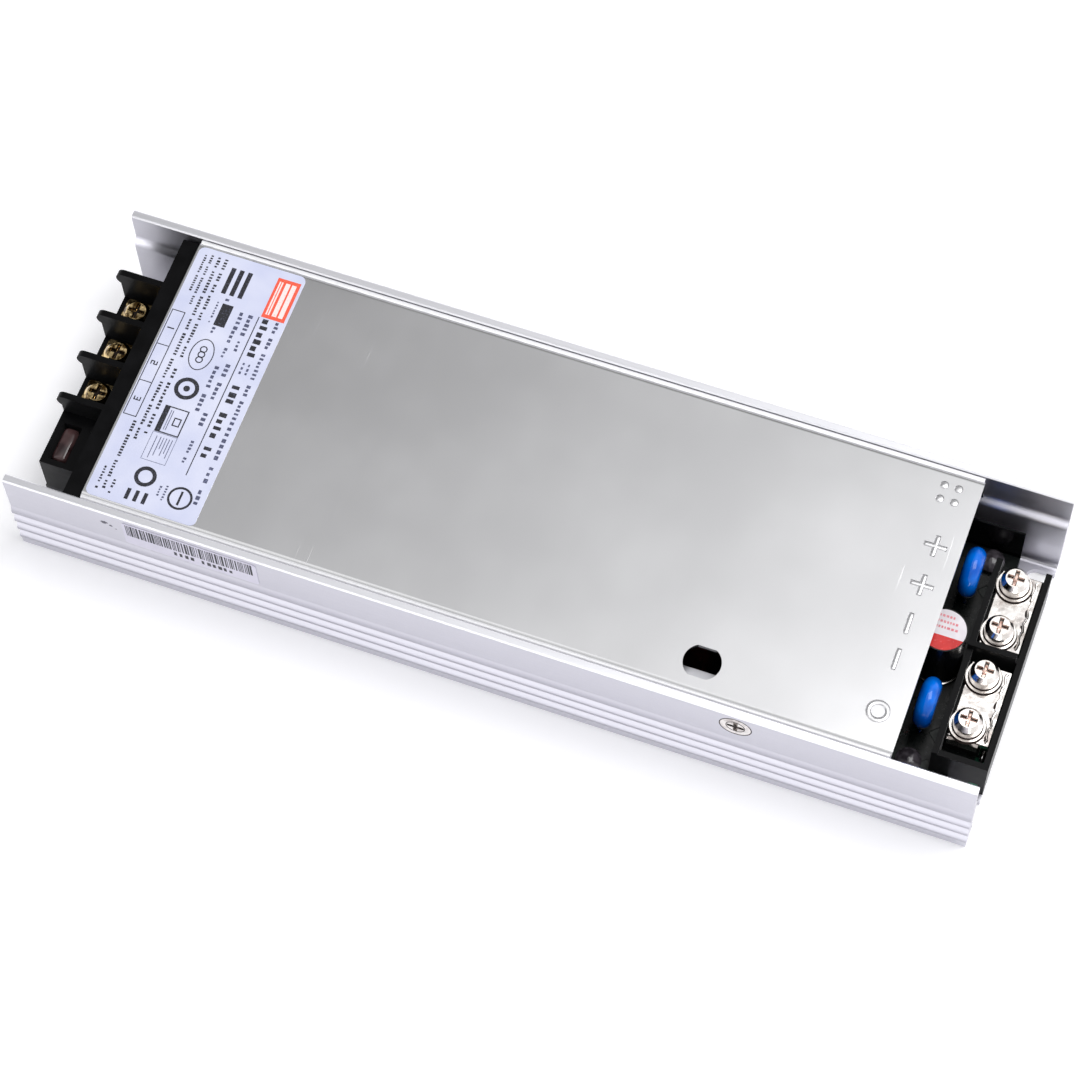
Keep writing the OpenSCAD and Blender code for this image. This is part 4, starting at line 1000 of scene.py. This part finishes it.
@dataclass
class RatingLabel(PrintedSheet):
    """The lavender label across the cover's input end."""

    name: ClassVar[str] = "rating label"
    finishes: ClassVar[dict[str, Finish]] = {"rating_label": LAVENDER_STOCK}
    far_y: float = 26.7
    cover_side_x: float = -53.8
    top_z: float = 23.6
    block: Point = (1.6, 0.5, 10.2, 4.9)
    block_marks: Sequence[Point] = (
        (2.3, 1.1, 9.5, 1.95), (2.3, 2.3, 9.5, 3.15), (2.3, 3.65, 9.5, 3.93), (2.3, 4.1, 9.5, 4.38))
    black_rows: Sequence[Point] = (
        (10.5, 19.3, 2.9, 4.3, 1.45), (24.9, 40.7, 2.9, 4.3, 1.45), (1.2, 22.9, 14.9, 15.5, 0.62),
        (25.2, 39.8, 14.9, 15.5, 0.75), (1.2, 41.7, 16.25, 16.85, 0.62), (49.3, 52.4, 16.25, 16.85, 0.62),
        (1.2, 12.3, 17.75, 18.2, 0.5), (37.3, 52.4, 17.6, 18.2, 0.6), (1.5, 10.0, 18.9, 19.35, 0.5),
        (47.3, 52.4, 18.9, 19.4, 0.6))
    # the long rule, the ring's bar, the middle row's bars, and the lines between the terminals' boxes
    black_bars: Sequence[Point] = (
        (10.4, 5.08, 44.4, 5.26), (47.6, 4.2, 50.4, 4.6), (2.4, 9.6, 8.0, 10.45), (2.4, 11.2, 8.0, 12.05),
        (2.4, 12.8, 8.0, 13.65), (9.9, 10.3, 14.6, 12.4), (32.7, 13.0, 37.8, 13.8), (50.0, 9.9, 52.2, 10.6),
        (50.0, 11.5, 52.2, 12.2), (50.0, 13.1, 52.2, 13.8), (21.3, 18.2, 21.46, 20.45), (29.2, 18.2, 29.36, 20.45))
    black_frames: Sequence[Point] = (
        (32.5, 9.4, 38.0, 14.0, 0.22), (34.4, 10.1, 36.1, 11.5, 0.22), (13.9, 18.05, 36.6, 20.6, 0.16))
    black_rings: Sequence[Point] = (
        (49.0, 4.4, 2.25, 0.42, 1), (21.0, 12.0, 3.3, 0.18, 0.66), (19.9, 12.0, 0.7, 0.22, 1),
        (21.0, 12.0, 0.7, 0.22, 1), (22.1, 12.0, 0.7, 0.22, 1), (28.3, 11.8, 2.25, 0.75, 1), (28.3, 11.8, 0.6, 0.6, 1),
        (47.0, 11.8, 2.0, 0.72, 1))
    grey_rows: Sequence[Point] = (
        (10.5, 31.5, 1.1, 1.85, 0.85), (31.9, 50.0, 1.1, 1.85, 1.2), (20.1, 23.3, 2.8, 3.2, 0.9),
        (20.1, 23.3, 3.9, 4.3, 0.9), (10.6, 15.5, 6.2, 7.05, 0.95), (16.3, 19.0, 6.3, 6.9, 0.8),
        (21.3, 29.5, 6.2, 7.05, 1.0), (31.8, 35.3, 6.2, 7.05, 1.0), (37.7, 42.8, 6.35, 6.95, 0.7),
        (10.6, 17.3, 7.95, 8.75, 1.0), (18.3, 20.7, 8.0, 8.6, 0.8), (22.3, 32.1, 7.95, 8.75, 1.0),
        (47.4, 50.7, 7.15, 7.55, 0.55), (47.8, 50.4, 8.2, 8.6, 0.55), (8.8, 9.6, 11.6, 12.3, 0.7),
        (15.0, 16.8, 11.7, 12.3, 0.8), (9.9, 14.6, 13.1, 13.45, 0.6))
    grey_bars: Sequence[Point] = (
        (38.8, 10.0, 42.6, 10.13), (38.8, 10.55, 41.8, 10.68), (38.8, 11.1, 42.4, 11.23), (38.8, 11.65, 41.2, 11.78),
        (38.8, 12.2, 42.7, 12.33), (38.8, 12.95, 43.4, 13.08), (33.2, 12.1, 37.3, 12.22), (33.2, 12.5, 37.3, 12.62))
    grey_frames: Sequence[Point] = ((38.1, 9.4, 43.9, 14.1, 0.08),)
    # the input terminals' numbers 1 to 3: where each stands along the label, and its strokes
    digit_b: float = 18.7
    digits: Sequence[tuple[float, Sequence[Point]]] = (
        (17.2, ((0.4, 0, 0.65, 1.3),)),
        (24.9, ((0, 0, 0.8, 0.2), (0.6, 0.2, 0.8, 0.55), (0, 0.55, 0.8, 0.75), (0, 0.75, 0.2, 1.1),
                (0, 1.1, 0.8, 1.3))),
        (32.6, ((0, 0, 0.8, 0.2), (0.6, 0.2, 0.8, 0.55), (0.15, 0.55, 0.8, 0.75), (0.6, 0.75, 0.8, 1.1),
                (0, 1.1, 0.8, 1.3))))

    def place(self, a: float, b: float, h: float) -> Point:
        """Returns the point that lies h above the label at (a, b)."""
        return self.cover_side_x - b, self.far_y - a, self.top_z + h

    def pieces(self) -> None:
        """Prints the dark and the grey marks, and the orange block with its pale stripes."""
        strokes = [(a + a0, self.digit_b + b0, a + a1, self.digit_b + b1)
                   for a, digit in self.digits for a0, b0, a1, b1 in digit]
        self.print_piece("label_black_print", BLACK_INK, Slot.LABEL, [*self.black_bars, *strokes], self.black_rows,
                         self.black_frames, self.black_rings)
        self.print_piece("label_grey_print", GREY_INK, Slot.LABEL, self.grey_bars, self.grey_rows, self.grey_frames)
        self.print_piece("label_orange_block", ORANGE_INK, Slot.LABEL, [self.block])
        self.print_piece("label_block_marks", WHITE_INK, Slot.LABEL, self.block_marks, coats=2)


@dataclass
class SerialSticker(PrintedSheet):
    """The small grey sticker on the near wall, with plain bars."""

    name: ClassVar[str] = "serial sticker"
    finishes: ClassVar[dict[str, Finish]] = {"serial_sticker": GREY_STOCK}
    in_x: float = -66.4
    top_z: float = 22.6
    face_y: float = -29.75
    bars_a: Span = (0.6, 24.6)
    bars_b: Span = (0.45, 4.3)
    widths: Point = (0.14, 0.14, 0.26, 0.38)
    gaps: Point = (0.14, 0.16, 0.28)
    dashes: Point = (9.4, 21.5, 5.0, 6.2, 1.05)

    def place(self, a: float, b: float, h: float) -> Point:
        """Returns the point that lies h off the sticker at (a, b)."""
        return self.in_x + a, self.face_y - h, self.top_z - b

    def pieces(self) -> None:
        """Prints the bars and a row of dashes below them."""
        bars = []
        a, end = self.bars_a
        while a < end:
            width = self.rng.choice(self.widths)
            bars.append((a, self.bars_b[0], a + width, self.bars_b[1]))
            a += width + self.rng.choice(self.gaps)
        self.print_piece("sticker_bars", BLACK_INK, Slot.WHITE, bars, [self.dashes])


# ------------------------------------------------------------------ terminals

@dataclass
class ScrewTerminals(SubAssembly):
    """Terminals with a row of screws, each with a cross recess."""

    screw_x: float = 0.0
    screw_ys: Point = ()
    recess_floor_z: float = 0.0
    recess: Span = (3.1, 0.775)
    recess_gap: Span = (0.04, 0.03)
    recess_h: float = 0.05

    def line_recesses(self, name: str, slot: Slot, finish: Finish = PAINTED_SHADE, inset: float = 0.0) -> None:
        """Lays a thin cross of painted shade, or of the finish given, in each screw's recess.

        Args:
            name: the piece's name.
            slot: the record's material slot for it.
            finish: what it is made of.
            inset: how much smaller and higher it is than the plain cross of painted shade.
        """
        lining = Shape()
        half, arm = (size / 2 - gap - inset for size, gap in zip(self.recess, self.recess_gap))
        for y in self.screw_ys:
            lining.slab(cross(self.screw_x, y, half, arm), self.recess_h + inset,
                        lambda a, b, h: (a, b, self.recess_floor_z + h))
        lining.piece(name, finish, slot)


@dataclass
class InputTerminals(ScrewTerminals):
    """The barrier block at the input end, with its screws and the line fuse."""

    name: ClassVar[str] = "input terminals"
    finishes: ClassVar[dict[str, Finish]] = {
        "input_housing": BLACK_PBT, **numbered("input_contact", 3, SHADED_CONTACT), "input_clamp_plates": YELLOW_ZINC,
        "input_screws": YELLOW_ZINC, "line_fuse": BROWN_CASE}
    screw_x: float = -83.5
    screw_ys: Point = (14.5, 5.5, -3.5)
    recess_floor_z: float = 13.9
    rib_xs: Point = (-80.2, -79.45, -78.7)
    rib_half: float = 0.17
    rib_ys: Span = (-10.1, -9.0)
    rib_zs: Span = (14.1, 14.42)
    rib_round: float = 0.06
    fuse_low: Point = (-86.6, -18.2, 4.8)
    fuse_high: Point = (-83.6, -11.2, 13.9)
    fuse_round: float = 0.85
    lead_x: float = -85.1
    lead_ys: Span = (-17.2, -12.2)
    lead_zs: Span = (2.4, 5.6)
    lead_r: float = 0.3

    def pieces(self) -> None:
        """Adds painted shade in the screws' recesses, the small moulded ribs on the closed bay, and the fuse with its
        leads.
        """
        self.line_recesses("input_recess_painted_shade", Slot.HOUSING)
        ribs = Shape()
        (y0, y1), (z0, z1) = self.rib_ys, self.rib_zs
        for x in self.rib_xs:
            ribs.block((x - self.rib_half, y0, z0), (x + self.rib_half, y1, z1), self.rib_round)
        ribs.piece("bay_moulded_ribs", BLACK_PBT, Slot.HOUSING)
        case = Shape().block(self.fuse_low, self.fuse_high, self.fuse_round)
        for y in self.lead_ys:
            case.tube([(self.lead_x, y, z) for z in self.lead_zs], self.lead_r)
        case.piece("line_fuse_case", BROWN_CASE, Slot.FUSE, replaces=["line_fuse"])


@dataclass
class OutputTerminals(ScrewTerminals):
    """The screwed output bars in their open housing, and their solder joints."""

    name: ClassVar[str] = "output terminals"
    finishes: ClassVar[dict[str, Finish]] = {
        "output_housing": BLACK_PBT, "output_bar_positive": BAR_NICKEL, "output_bar_negative": BAR_NICKEL,
        "output_nuts": ZINC_STEEL, "output_flat_washers": NICKEL, "output_spring_washers": ZINC_STEEL,
        "output_screws": NICKEL}
    screw_x: float = 83.2
    screw_ys: Point = (-12.35, -2.65, 6.25, 15.95)
    recess_floor_z: float = 12.9
    shine_inset: float = 0.13
    leg_x: float = 87.15
    leg_ys: Point = (15.5, 9.0, 4.3, -4.1, -7.7, -14.5)
    board_z: float = 4.8
    joint_stretch: Span = (0.68, 1.25)
    joint_h: float = 0.75
    joint_hollow: Span = (1.4, 1.6)
    # each washer's ring of painted shade: its inner radius, its width and the height it lies at
    seams: Sequence[Point] = ((3.15, 0.2, 10.4), (2.6, 0.16, 11.0))
    line_h: float = 0.03
    bar_spans: Sequence[Span] = ((3.8, 18.4), (-14.8, -0.2))
    bar_edge_x: float = 87.6
    bar_top_z: float = 10.4
    edge_margin: float = 0.4
    edge_step: float = 0.35
    burr_in: float = 0.42
    burr_sway: float = 0.28
    burr_sway_rate: float = 1.15
    burr_stray: float = 0.12
    burr_r: float = 0.24
    burr_sunk: float = 0.02
    # the line of painted dark reflection inside each bar's burr: how often, how long, where it ends, how far in, and
    # its sway
    dark_line_every: int = 9
    dark_line_steps: int = 5
    dark_line_end: int = 3
    dark_line_in: Span = (0.22, 0.40)
    dark_line_sway: float = 0.12

    def pieces(self) -> None:
        """Adds painted shade and a painted reflection in the recesses, the solder at the bars' legs, painted shade
        round the washers, and the bars' burrs with a painted dark reflection line.
        """
        self.line_recesses("output_recess_painted_shade", Slot.PLATED)
        # painted reflection: a smaller pink cross laid over the painted shade
        self.line_recesses("output_recess_shine", Slot.PLATED, RECESS_REFLECTION, self.shine_inset)
        self.solder_joints()
        self.washer_seams()
        self.bar_edges()

    def solder_joints(self) -> None:
        """Adds the hollow flanked fillet of solder at each leg."""
        out, up = self.joint_hollow
        flank = [(math.cos(t) ** out, self.joint_h * math.sin(t) ** up) for t in angles(8, math.pi / 2)]
        joints = Shape()
        for y in self.leg_ys:
            joints.spin([(0, 0), *flank, (0, self.joint_h)], (self.leg_x, y, self.board_z), 32, self.joint_stretch)
        joints.piece("output_leg_solder", SOLDER, Slot.TINNED)

    def washer_seams(self) -> None:
        """Adds a ring of painted shade round each flat washer and each spring washer."""
        washer_shade = Shape()
        for y in self.screw_ys:
            for radius, line, z in self.seams:
                washer_shade.ring(oval(self.screw_x, y, radius + line, radius + line), oval(self.screw_x, y, radius, radius),
                           self.line_h, lambda a, b, h, z=z: (a, b, z + h))
        washer_shade.piece("washer_painted_shade", PAINTED_SHADE, Slot.PLATED)

    def bar_edges(self) -> None:
        """Adds the burr that shearing raised along each bar's outer edge, and a line of painted dark reflection inside
        it.
        """
        rng = random.Random(SEED + 2)
        burr, line = Shape(), Shape()
        near, far = self.dark_line_in
        for y0, y1 in self.bar_spans:
            length = y1 - y0 - 2 * self.edge_margin
            steps = round(length / self.edge_step)
            ys = [y0 + self.edge_margin + length * k / steps for k in range(steps + 1)]
            xs = [self.bar_edge_x - self.burr_in - self.burr_sway * abs(math.sin(self.burr_sway_rate * y))
                  - rng.uniform(0, self.burr_stray) for y in ys]
            burr.tube([(x, y, self.bar_top_z - self.burr_sunk) for x, y in zip(xs, ys)], self.burr_r)
            # painted dark reflection, inside the burr
            for start in range(1, steps - self.dark_line_end, self.dark_line_every):
                span = range(start, min(start + self.dark_line_steps, steps))
                inner = [(xs[k] - far - self.dark_line_sway * math.sin(k), ys[k]) for k in span]
                outer = [(xs[k] - near, ys[k]) for k in reversed(span)]
                line.slab(inner + outer, self.line_h, lambda a, b, h: (a, b, self.bar_top_z + h))
        burr.piece("output_bar_burr", NICKEL, Slot.PLATED)
        line.piece("output_bar_painted_dark_line", PAINTED_SHADE, Slot.PLATED)


# ------------------------------------------------------------------ components in the open ends

@dataclass
class OutputFilter(SubAssembly):
    """The discs and cans by the output bars, the rivets and the can's lacquered top."""

    name: ClassVar[str] = "output filter"
    finishes: ClassVar[dict[str, Finish]] = {
        **numbered("output_capacitor", 4, BLACK_SLEEVE), **numbered("disc_capacitor", 2, BLUE_EPOXY),
        "board_rivets": SMOKE_NYLON}
    can: Span = (74.6, 0.0)
    can_top_z: float = 18.8
    top_r: float = 3.88
    top_h: float = 0.05
    red_edge: float = -1.15
    print_rows: Sequence[Point] = ((2.6, -1.5, 1.4), (1.5, -2.5, 2.1), (0.4, -2.3, 2.5))
    print_room: float = 0.3
    print_half: float = 0.22
    print_step: Span = (0.25, 0.55)
    print_gap: float = 0.2
    print_h: float = 0.07
    ring_r: float = 4.15
    ring_z: float = 5.25
    ring_wire_r: float = 0.28

    def on_top(self, a: float, b: float, h: float) -> Point:
        """Returns the point h above the can's top, with a and b from its middle."""
        return self.can[0] + a, self.can[1] + b, self.can_top_z + h

    def pieces(self) -> None:
        """Adds the can's white top with its red segment and print, and its base ring."""
        cut = math.asin(self.red_edge / self.top_r)
        for name, finish, slot, start, turn in (
                ("can_white_top", WHITE_LACQUER, Slot.WHITE, cut, math.pi - 2 * cut),
                ("can_red_segment", RED_LACQUER, Slot.RED, math.pi - cut, math.pi + 2 * cut)):
            edge = [(self.top_r * math.cos(t), self.top_r * math.sin(t)) for t in angles(40, turn, start, ends=True)]
            Shape().slab(edge, self.top_h, self.on_top).piece(name, finish, slot)
        marks = Shape()
        rng = random.Random(SEED + 1)
        for b, a, end in self.print_rows:
            while a < end - self.print_room:
                step = rng.uniform(*self.print_step)
                marks.slab(bar(a, b - self.print_half, a + step, b + self.print_half), self.print_h, self.on_top)
                a += step + self.print_gap
        marks.piece("can_top_print", PINK_INK, Slot.RED)
        edge = [(self.can[0] + self.ring_r * math.cos(t), self.can[1] + self.ring_r * math.sin(t), self.ring_z)
                for t in angles(64)]
        Shape().tube(edge, self.ring_wire_r, closed=True).piece("can_base_ring", ZINC_STEEL, Slot.TINNED)


# ------------------------------------------------------------------ parts under the cover

@dataclass
class PowerStage(SubAssembly):
    """Everything under the cover: the board, filter, magnetics and semiconductors."""

    name: ClassVar[str] = "power stage"
    finishes: ClassVar[dict[str, Finish]] = {
        "bridge_rectifier": PACKAGE, "boost_transistor": PACKAGE, "boost_diode": PACKAGE,
        **numbered("switch_transistor", 2, PACKAGE), **numbered("output_rectifier", 2, PACKAGE),
        "far_thermal_pad": GREY_PAD, "switch_thermal_pad": GREY_PAD, "rectifier_thermal_pad": GREY_PAD,
        "far_clamp_bar": MILL_ALUMINIUM, "switch_clamp_bar": MILL_ALUMINIUM, "rectifier_clamp_bar": MILL_ALUMINIUM,
        "circuit_board": GREEN_BOARD, "control_board": GREEN_BOARD, "board_spacers": NATURAL_NYLON,
        "varistor": BLUE_EPOXY, "inrush_thermistor": GREEN_DIP, "line_filter_capacitor": YELLOW_CASE,
        "line_choke_core": FERRITE, "line_choke_windings": COPPER_WIRE, "boost_choke_core": FERRITE,
        "boost_choke_winding": COPPER_WIRE, **numbered("bulk_capacitor", 2, BLACK_SLEEVE),
        "transformer_core": FERRITE, "transformer_bobbin": BLACK_PHENOLIC, "transformer_winding": YELLOW_TAPE,
        "resonant_capacitor": RED_FILM, "clamp_screws": ZINC_STEEL}


# ------------------------------------------------------------------ studio

@dataclass
class Studio:
    """The floor, the lights and the camera. None of it is part of the object."""

    lens_mm: float = 111.92
    sensor_mm: float = 36
    clip_m: Span = (0.01, 20)
    place_m: Point = (0.106077, -0.249156, 0.543350)
    right: Point = (0.938869, 0.343310, -0.025744)
    down: Point = (0.296197, -0.843611, -0.447870)
    forward: Point = (-0.175476, 0.412866, -0.893728)
    # each lamp's place and size in metres, and its power in watts
    high_lamp: tuple[Point, Span, float] = ((0.43, 0.18, 1.0), (0.7, 0.7), 7.0)
    low_front_lamp: tuple[Point, Span, float] = ((0.0, -1.1, 0.17), (1.4, 0.3), 4.4)
    soft_colour: str = "#f7f7fb"
    soft_strength: float = 0.66
    # the ceiling that gloss mirrors: its slant, where its brightness rises and falls, and its three levels
    slant: float = -0.87
    rise_at: Span = (-0.66, -0.36)
    fall_at: Span = (-0.34, -0.08)
    levels: Point = (0.38, 1.4, 0.78)
    wall_at: Span = (0.15, 0.55)
    floor_half_m: float = 3
    floor_z_m: float = -5e-5
    floor_colour: str = "#f6f6f7"
    floor_roughness: float = 0.9
    floor_lift: float = 0.2

    def build(self) -> None:
        """Sets up the world, the floor, the lamps and the camera."""
        scene = bpy.context.scene
        scene.view_settings.view_transform = "Standard"
        self.world(scene)
        self.floor()
        self.lamp("high_lamp", *self.high_lamp)
        self.lamp("low_front_lamp", *self.low_front_lamp)
        self.camera(scene)
        LOG.info("studio: floor, two lamps, camera of %.1f mm", self.lens_mm)

    def sharp_rays(self, tree: Tree, path: Node) -> Node:
        """Tells rays that show the room itself from those that gather soft light.

        Args:
            tree: the node tree that gets the nodes.
            path: its Light Path node.

        Returns:
            A node that is 1 for camera, glossy and transmission rays, and 0 for the others.
        """
        seen = add_node(tree, "Math", {"operation": "MAXIMUM"}, i0=path.outputs["Is Camera Ray"],
                        i1=path.outputs["Is Glossy Ray"])
        return add_node(tree, "Math", {"operation": "MAXIMUM"}, i0=seen, i1=path.outputs["Is Transmission Ray"])

    def world(self, scene: bpy.types.Scene) -> None:
        """Makes a white surround whose ceiling is softly graded from one side to the other.

        Args:
            scene: the scene that gets it.
        """
        world = bpy.data.worlds.new("studio_room")
        scene.world = world
        world.use_nodes = True
        tree = world.node_tree
        tree.nodes.clear()
        way = add_node(tree, "SeparateXYZ", Vector=add_node(tree, "TexCoord").outputs["Generated"])
        slant = add_node(tree, "Math", {"operation": "MULTIPLY_ADD", 1: self.slant}, i0=way.outputs["Y"],
                         i2=way.outputs["X"])
        low, bright, high = self.levels
        rise, fall = (add_node(tree, "MapRange", {"From Min": start, "From Max": end, "To Min": first, "To Max": last},
                               Value=slant)
                      for (start, end), first, last in ((self.rise_at, low, bright), (self.fall_at, bright, high)))
        grade = add_node(tree, "Math", {"operation": "MINIMUM"}, i0=rise, i1=fall)
        wall = add_node(tree, "MapRange", {"interpolation_type": "SMOOTHSTEP", "From Min": self.wall_at[0],
                                           "From Max": self.wall_at[1], "To Min": 1.0, "To Max": 0.0},
                        Value=way.outputs["Z"])
        path = add_node(tree, "LightPath")
        shown = add_node(tree, "Math", {"operation": "MAXIMUM"}, i0=wall, i1=path.outputs["Is Camera Ray"])
        room = add_node(tree, "Mix", {3: 1.0}, i0=shown, i2=grade)
        soft = add_node(tree, "Background", {"Color": linear(self.soft_colour), "Strength": self.soft_strength})
        white = add_node(tree, "Background", {"Color": linear("#ffffff")}, Strength=room)
        mixed = add_node(tree, "MixShader", i0=self.sharp_rays(tree, path), i1=soft, i2=white)
        add_node(tree, "OutputWorld", Surface=mixed)

    def floor(self) -> None:
        """Lays a plain white floor that keeps a soft shadow."""
        mesh = bpy.data.meshes.new("floor")
        half = self.floor_half_m
        mesh.from_pydata([(*corner, self.floor_z_m) for corner in bar(-half, -half, half, half)], [], [(0, 1, 2, 3)])
        floor = bpy.data.objects.new("floor", mesh)
        bpy.context.scene.collection.objects.link(floor)
        material = bpy.data.materials.new("white_floor_paper")
        material.use_nodes = True
        tree = material.node_tree
        shader = tree.nodes["Principled BSDF"]
        for socket, value in (("Roughness", self.floor_roughness), ("Specular IOR Level", 0.0),
                              ("Base Color", linear(self.floor_colour)), ("Emission Color", linear("#ffffff"))):
            shader.inputs[socket].default_value = value
        sharp = self.sharp_rays(tree, add_node(tree, "LightPath"))
        lift = add_node(tree, "Math", {"operation": "MULTIPLY", 1: self.floor_lift}, i0=sharp)
        tree.links.new(lift.outputs[0], shader.inputs["Emission Strength"])
        mesh.materials.append(material)

    def lamp(self, name: str, place: Point, size: Span, power: float) -> None:
        """Hangs a soft white rectangular lamp that looks at the object.

        Args:
            name: the lamp's name.
            place: where it hangs, in metres.
            size: its width and height, in metres.
            power: its power in watts.
        """
        data = bpy.data.lights.new(name, "AREA")
        data.shape = "RECTANGLE"
        data.size, data.size_y = size
        data.energy = power
        obj = bpy.data.objects.new(name, data)
        obj.location = place
        obj.rotation_euler = (-Vector(place)).to_track_quat("-Z", "Y").to_euler()
        bpy.context.scene.collection.objects.link(obj)

    def camera(self, scene: bpy.types.Scene) -> None:
        """Places the camera.

        Args:
            scene: the scene that gets it.
        """
        data = bpy.data.cameras.new("camera")
        data.sensor_width = self.sensor_mm
        data.lens = self.lens_mm
        data.clip_start, data.clip_end = self.clip_m
        obj = bpy.data.objects.new("camera", data)
        columns = (Vector(self.right), -Vector(self.down), -Vector(self.forward))
        turn = Matrix([[column[i] for column in columns] for i in range(3)])
        obj.matrix_world = Matrix.Translation(self.place_m) @ turn.to_4x4()
        scene.collection.objects.link(obj)
        scene.camera = obj


def main() -> None:
    """Builds the studio and the sub-assemblies in order, and notes any node that got no finish."""
    logging.basicConfig(level=logging.INFO, format="%(name)s %(message)s")
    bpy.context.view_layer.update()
    Studio().build()
    dressed: set[str] = set()
    for part in (Enclosure(), RatingLabel(), SerialSticker(), InputTerminals(), OutputTerminals(), OutputFilter(),
                 PowerStage()):
        dressed |= part.build()
    missing = sorted(set(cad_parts) - dressed)
    if missing:
        LOG.warning("no finish for %s", missing)


if __name__ == "__main__":
    main()
